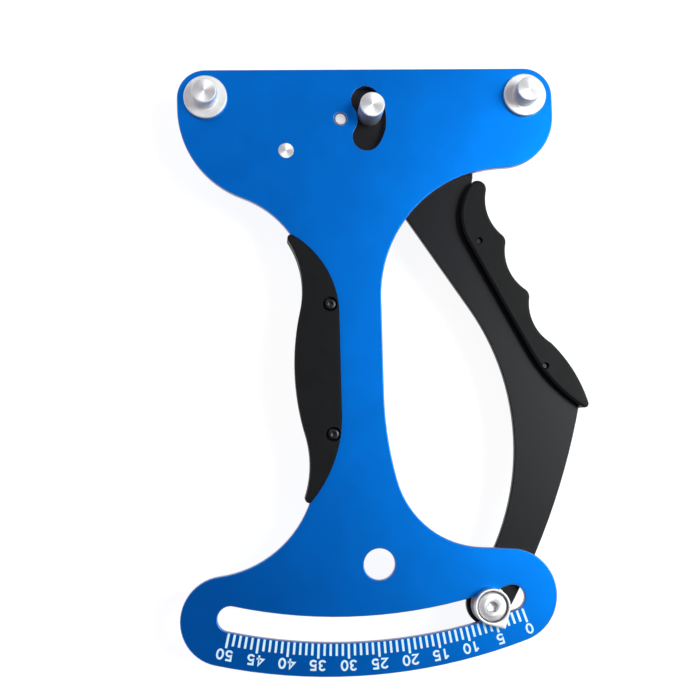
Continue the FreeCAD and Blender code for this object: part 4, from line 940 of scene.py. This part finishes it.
def digit_strokes():
    """Centre lines of the plain digits that the scale needs, in millimetres about each one's middle."""
    top = (NUMBER_HEIGHT - NUMBER_STROKE) / 2
    side = top * 0.64
    lobe = top * 0.53
    return {
        "0": [turn_through((0, 0), (side, top), 90, 450, 36)],
        "1": [[(0.25, -top * 1.15), (0.25, top * 1.15)], [(0.2, top * 1.02), (-0.75, top * 0.45)]],
        "2": [turn_through((0, top - lobe), (side, lobe), 165, -35) + [(-side, -top), (side * 1.1, -top)]],
        "3": [turn_through((0, top - lobe * 0.93), (side * 0.9, lobe * 0.93), 160, -90),
              turn_through((0, lobe - top), (side, lobe), 90, -160)],
        "4": [[(0.4, -top * 1.15), (0.4, top), (-side * 1.15, -top * 0.36), (side * 1.25, -top * 0.36)]],
        "5": [[(side, top), (-side * 0.75, top)]
              + turn_through((0, lobe * 1.08 - top), (side, lobe * 1.08), 140, -155)],
    }


def stroke(shell, line, width, level):
    """A flat printed stroke of one width along a line, with mitred corners."""
    closed = (Vector(line[0]) - Vector(line[-1])).length < 1e-6
    points = [Vector(point) for point in (line[:-1] if closed else line)]
    count = len(points)
    rings = []
    for k, point in enumerate(points):
        before = points[k - 1] if closed or k else point * 2 - points[1]
        after = points[(k + 1) % count] if closed or k < count - 1 else point * 2 - points[k - 1]
        first = (point - before).normalized()
        second = (after - point).normalized()
        along = (first + second).normalized()
        out = Vector((-along.y, along.x)) * (width / 2 / max(along.dot(first), 0.55))
        left = point + out
        right = point - out
        rings.append([shell.verts.new((spot.x * MM, spot.y * MM, z * MM))
                      for spot, z in ((left, 0), (left, level), (right, level), (right, 0))])
    for first, second in zip(rings, rings[1:] + (rings[:1] if closed else [])):
        for k in range(4):
            after = (k + 1) % 4
            shell.faces.new((first[k], second[k], second[after], first[after]))
    if not closed:
        shell.faces.new(rings[0])
        shell.faces.new(rings[-1][::-1])


def scale_number(number):
    """A number printed on the scale's arc, read from the far side of the dial."""
    step = MARK_SWEEP / (MARK_COUNT - 1)
    angle = math.radians(MARK_START_ANGLE + step * (MARK_COUNT - 1 - number))
    shell = bmesh.new()
    digits = str(number)
    for place, digit in enumerate(digits):
        across = (place - (len(digits) - 1) / 2) * NUMBER_PITCH
        for layer, line in enumerate(digit_strokes()[digit]):
            shifted = [(x + across, y) for x, y in line]
            stroke(shell, shifted, NUMBER_STROKE, INK_THICKNESS + INK_LAYER * layer)
    bmesh.ops.recalc_face_normals(shell, faces=shell.faces)
    mesh = mesh_from(shell, f"printed_number_{number}")
    spot = mm(*about_pivot(NUMBER_RADIUS, angle), PRINT_LEVEL)
    mesh.transform(Matrix.Translation(spot) @ Matrix.Rotation(angle - math.pi / 2, 4, "Z"))
    piece = linked(f"printed_number_{number}", mesh)
    piece.data.materials.append(INK)
    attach(piece, "frame")
    return piece


# ---------------------------------------------------------------- studio

CAMERA_PLACE = (-33.95, -107.74, 365.62)
CAMERA_TARGET = (-7.59, -82.65, -1.5)
CAMERA_ROLL = 1.548
CAMERA_LENS = 59.14
LAMP_TARGET = (0, -90, 0)
LAMP_COLOUR = (0.95, 1.02, 1.0)

# the paper floor: its level in millimetres, and in metres half its width,
# and where and how fast it sweeps up as a backdrop
FLOOR_LEVEL = -20.8
FLOOR_REACH = 6.0
FLOOR_STEPS = 48
SWEEP_START = 3.5
SWEEP_RISE = 0.45

# the room's light, from level and below to straight along an axis that leans to the upper left
ROOM_AXIS = (-0.35, 0.35, 0.87)
ROOM_LIGHT = ((0.0, "8C8C90"), (0.3, "4A4A4E"), (0.5, "3C3C40"), (0.68, "867C8E"), (1.0, "8C7B94"))


def studio_camera():
    camera = linked("studio_camera", bpy.data.cameras.new("studio_camera"))
    camera.data.lens = CAMERA_LENS
    camera.data.sensor_width = 36
    camera.data.clip_start = 0.01
    ahead = (mm(*CAMERA_TARGET) - mm(*CAMERA_PLACE)).normalized()
    roll = math.radians(CAMERA_ROLL)
    right = ahead.cross(Vector((math.sin(roll), math.cos(roll), 0))).normalized()
    up = right.cross(ahead)
    turn = Matrix((right, up, -ahead)).transposed().to_4x4()
    camera.matrix_world = Matrix.Translation(mm(*CAMERA_PLACE)) @ turn
    bpy.context.scene.camera = camera


def white_paper():
    """Matte paper, mid-grey to the light on it; seen directly it is lifted to white and keeps its shadows."""
    material, tree, shader = new_material("white_studio_paper", {
        "Roughness": 0.9, "Specular IOR Level": 0.1, "Emission Color": (0.92, 0.92, 0.92, 1)})
    place = add_node(tree, "ShaderNodeTexCoord").outputs["Object"]
    fibre = add_node(tree, "ShaderNodeTexNoise", inputs={
        "Vector": place, "Scale": 1 / (1.2 * MM), "Detail": 3.0, "Roughness": 0.5})
    share = add_node(tree, "ShaderNodeMapRange", inputs={
        "Value": fibre.outputs["Fac"], "From Min": PATTERN_LOW, "From Max": PATTERN_HIGH})
    base = add_node(tree, "ShaderNodeMix", {"data_type": "RGBA"}, {
        "Factor": share.outputs["Result"], "A": colour("7E7E7E"), "B": colour("828282")})
    # 1 for rays from the camera, a mirror or clear glass, and 0 for all that light the scene
    path = add_node(tree, "ShaderNodeLightPath").outputs
    seen = add_node(tree, "ShaderNodeMath", {"operation": "ADD"}, {
        0: path["Is Camera Ray"], 1: path["Is Glossy Ray"]})
    seen_directly = add_node(tree, "ShaderNodeMath", {"operation": "ADD", "use_clamp": True}, {
        0: seen.outputs["Value"], 1: path["Is Transmission Ray"]})
    set_inputs(shader, {"Base Color": base.outputs["Result"],
                        "Emission Strength": seen_directly.outputs["Value"]})
    return material


def paper_floor():
    """Seamless paper that lies flat under the object and sweeps up far behind it."""
    shell = bmesh.new()
    bmesh.ops.create_grid(shell, x_segments=FLOOR_STEPS, y_segments=FLOOR_STEPS, size=FLOOR_REACH)
    for corner in shell.verts:
        beyond = max(0.0, corner.co.length - SWEEP_START)
        corner.co.z = SWEEP_RISE * beyond ** 2
    mesh = mesh_from(shell, "studio_floor")
    mesh.transform(Matrix.Translation(mm(0, -90, FLOOR_LEVEL)))
    mesh.materials.append(white_paper())
    mesh.shade_smooth()
    linked("studio_floor", mesh)


def soft_box(name, place, size, watts):
    light = bpy.data.lights.new(name, "AREA")
    light.shape = "RECTANGLE"
    light.size = size[0] * MM
    light.size_y = size[1] * MM
    light.energy = watts
    light.color = LAMP_COLOUR
    lamp = linked(name, light)
    lamp.location = mm(*place)
    lamp.rotation_euler = (mm(*LAMP_TARGET) - mm(*place)).to_track_quat("-Z", "Y").to_euler()


def studio_light():
    world = bpy.data.worlds.new("studio_world")
    bpy.context.scene.world = world
    world.use_nodes = True
    tree = world.node_tree
    tree.nodes.clear()
    around = add_node(tree, "ShaderNodeTexCoord").outputs["Generated"]
    height = add_node(tree, "ShaderNodeVectorMath", {"operation": "DOT_PRODUCT"}, {0: around, 1: ROOM_AXIS})
    room = add_node(tree, "ShaderNodeValToRGB", inputs={"Fac": height.outputs["Value"]})
    stops = room.color_ramp.elements
    while len(stops) < len(ROOM_LIGHT):
        stops.new(0.5)
    for stop, (position, hex_text) in zip(stops, ROOM_LIGHT):
        stop.position = position
        stop.color = colour(hex_text)
    light = add_node(tree, "ShaderNodeBackground", inputs={"Color": room.outputs["Color"], "Strength": 1.0})
    add_node(tree, "ShaderNodeOutputWorld", inputs={"Surface": light.outputs["Background"]})
    soft_box("key_box", (610, -10, 760), (420, 560), 11.2)
    soft_box("top_box", (-300, 450, 680), (500, 500), 1.4)


def dress():
    frame_plate()
    lever_plate()
    palm_grip()
    finger_grip()
    fixed_post("left")
    fixed_post("right")
    moving_post()
    screws()
    countersunk_screw()
    pivot_screw()
    anchor_pin()
    anchor_clip()
    washers()
    pointer()
    torsion_spring()
    scale_marks()
    for number in range(0, MARK_COUNT, MARK_GROUP):
        scale_number(number)


studio_camera()
paper_floor()
studio_light()
bpy.context.scene.view_settings.view_transform = "Standard"
dress()
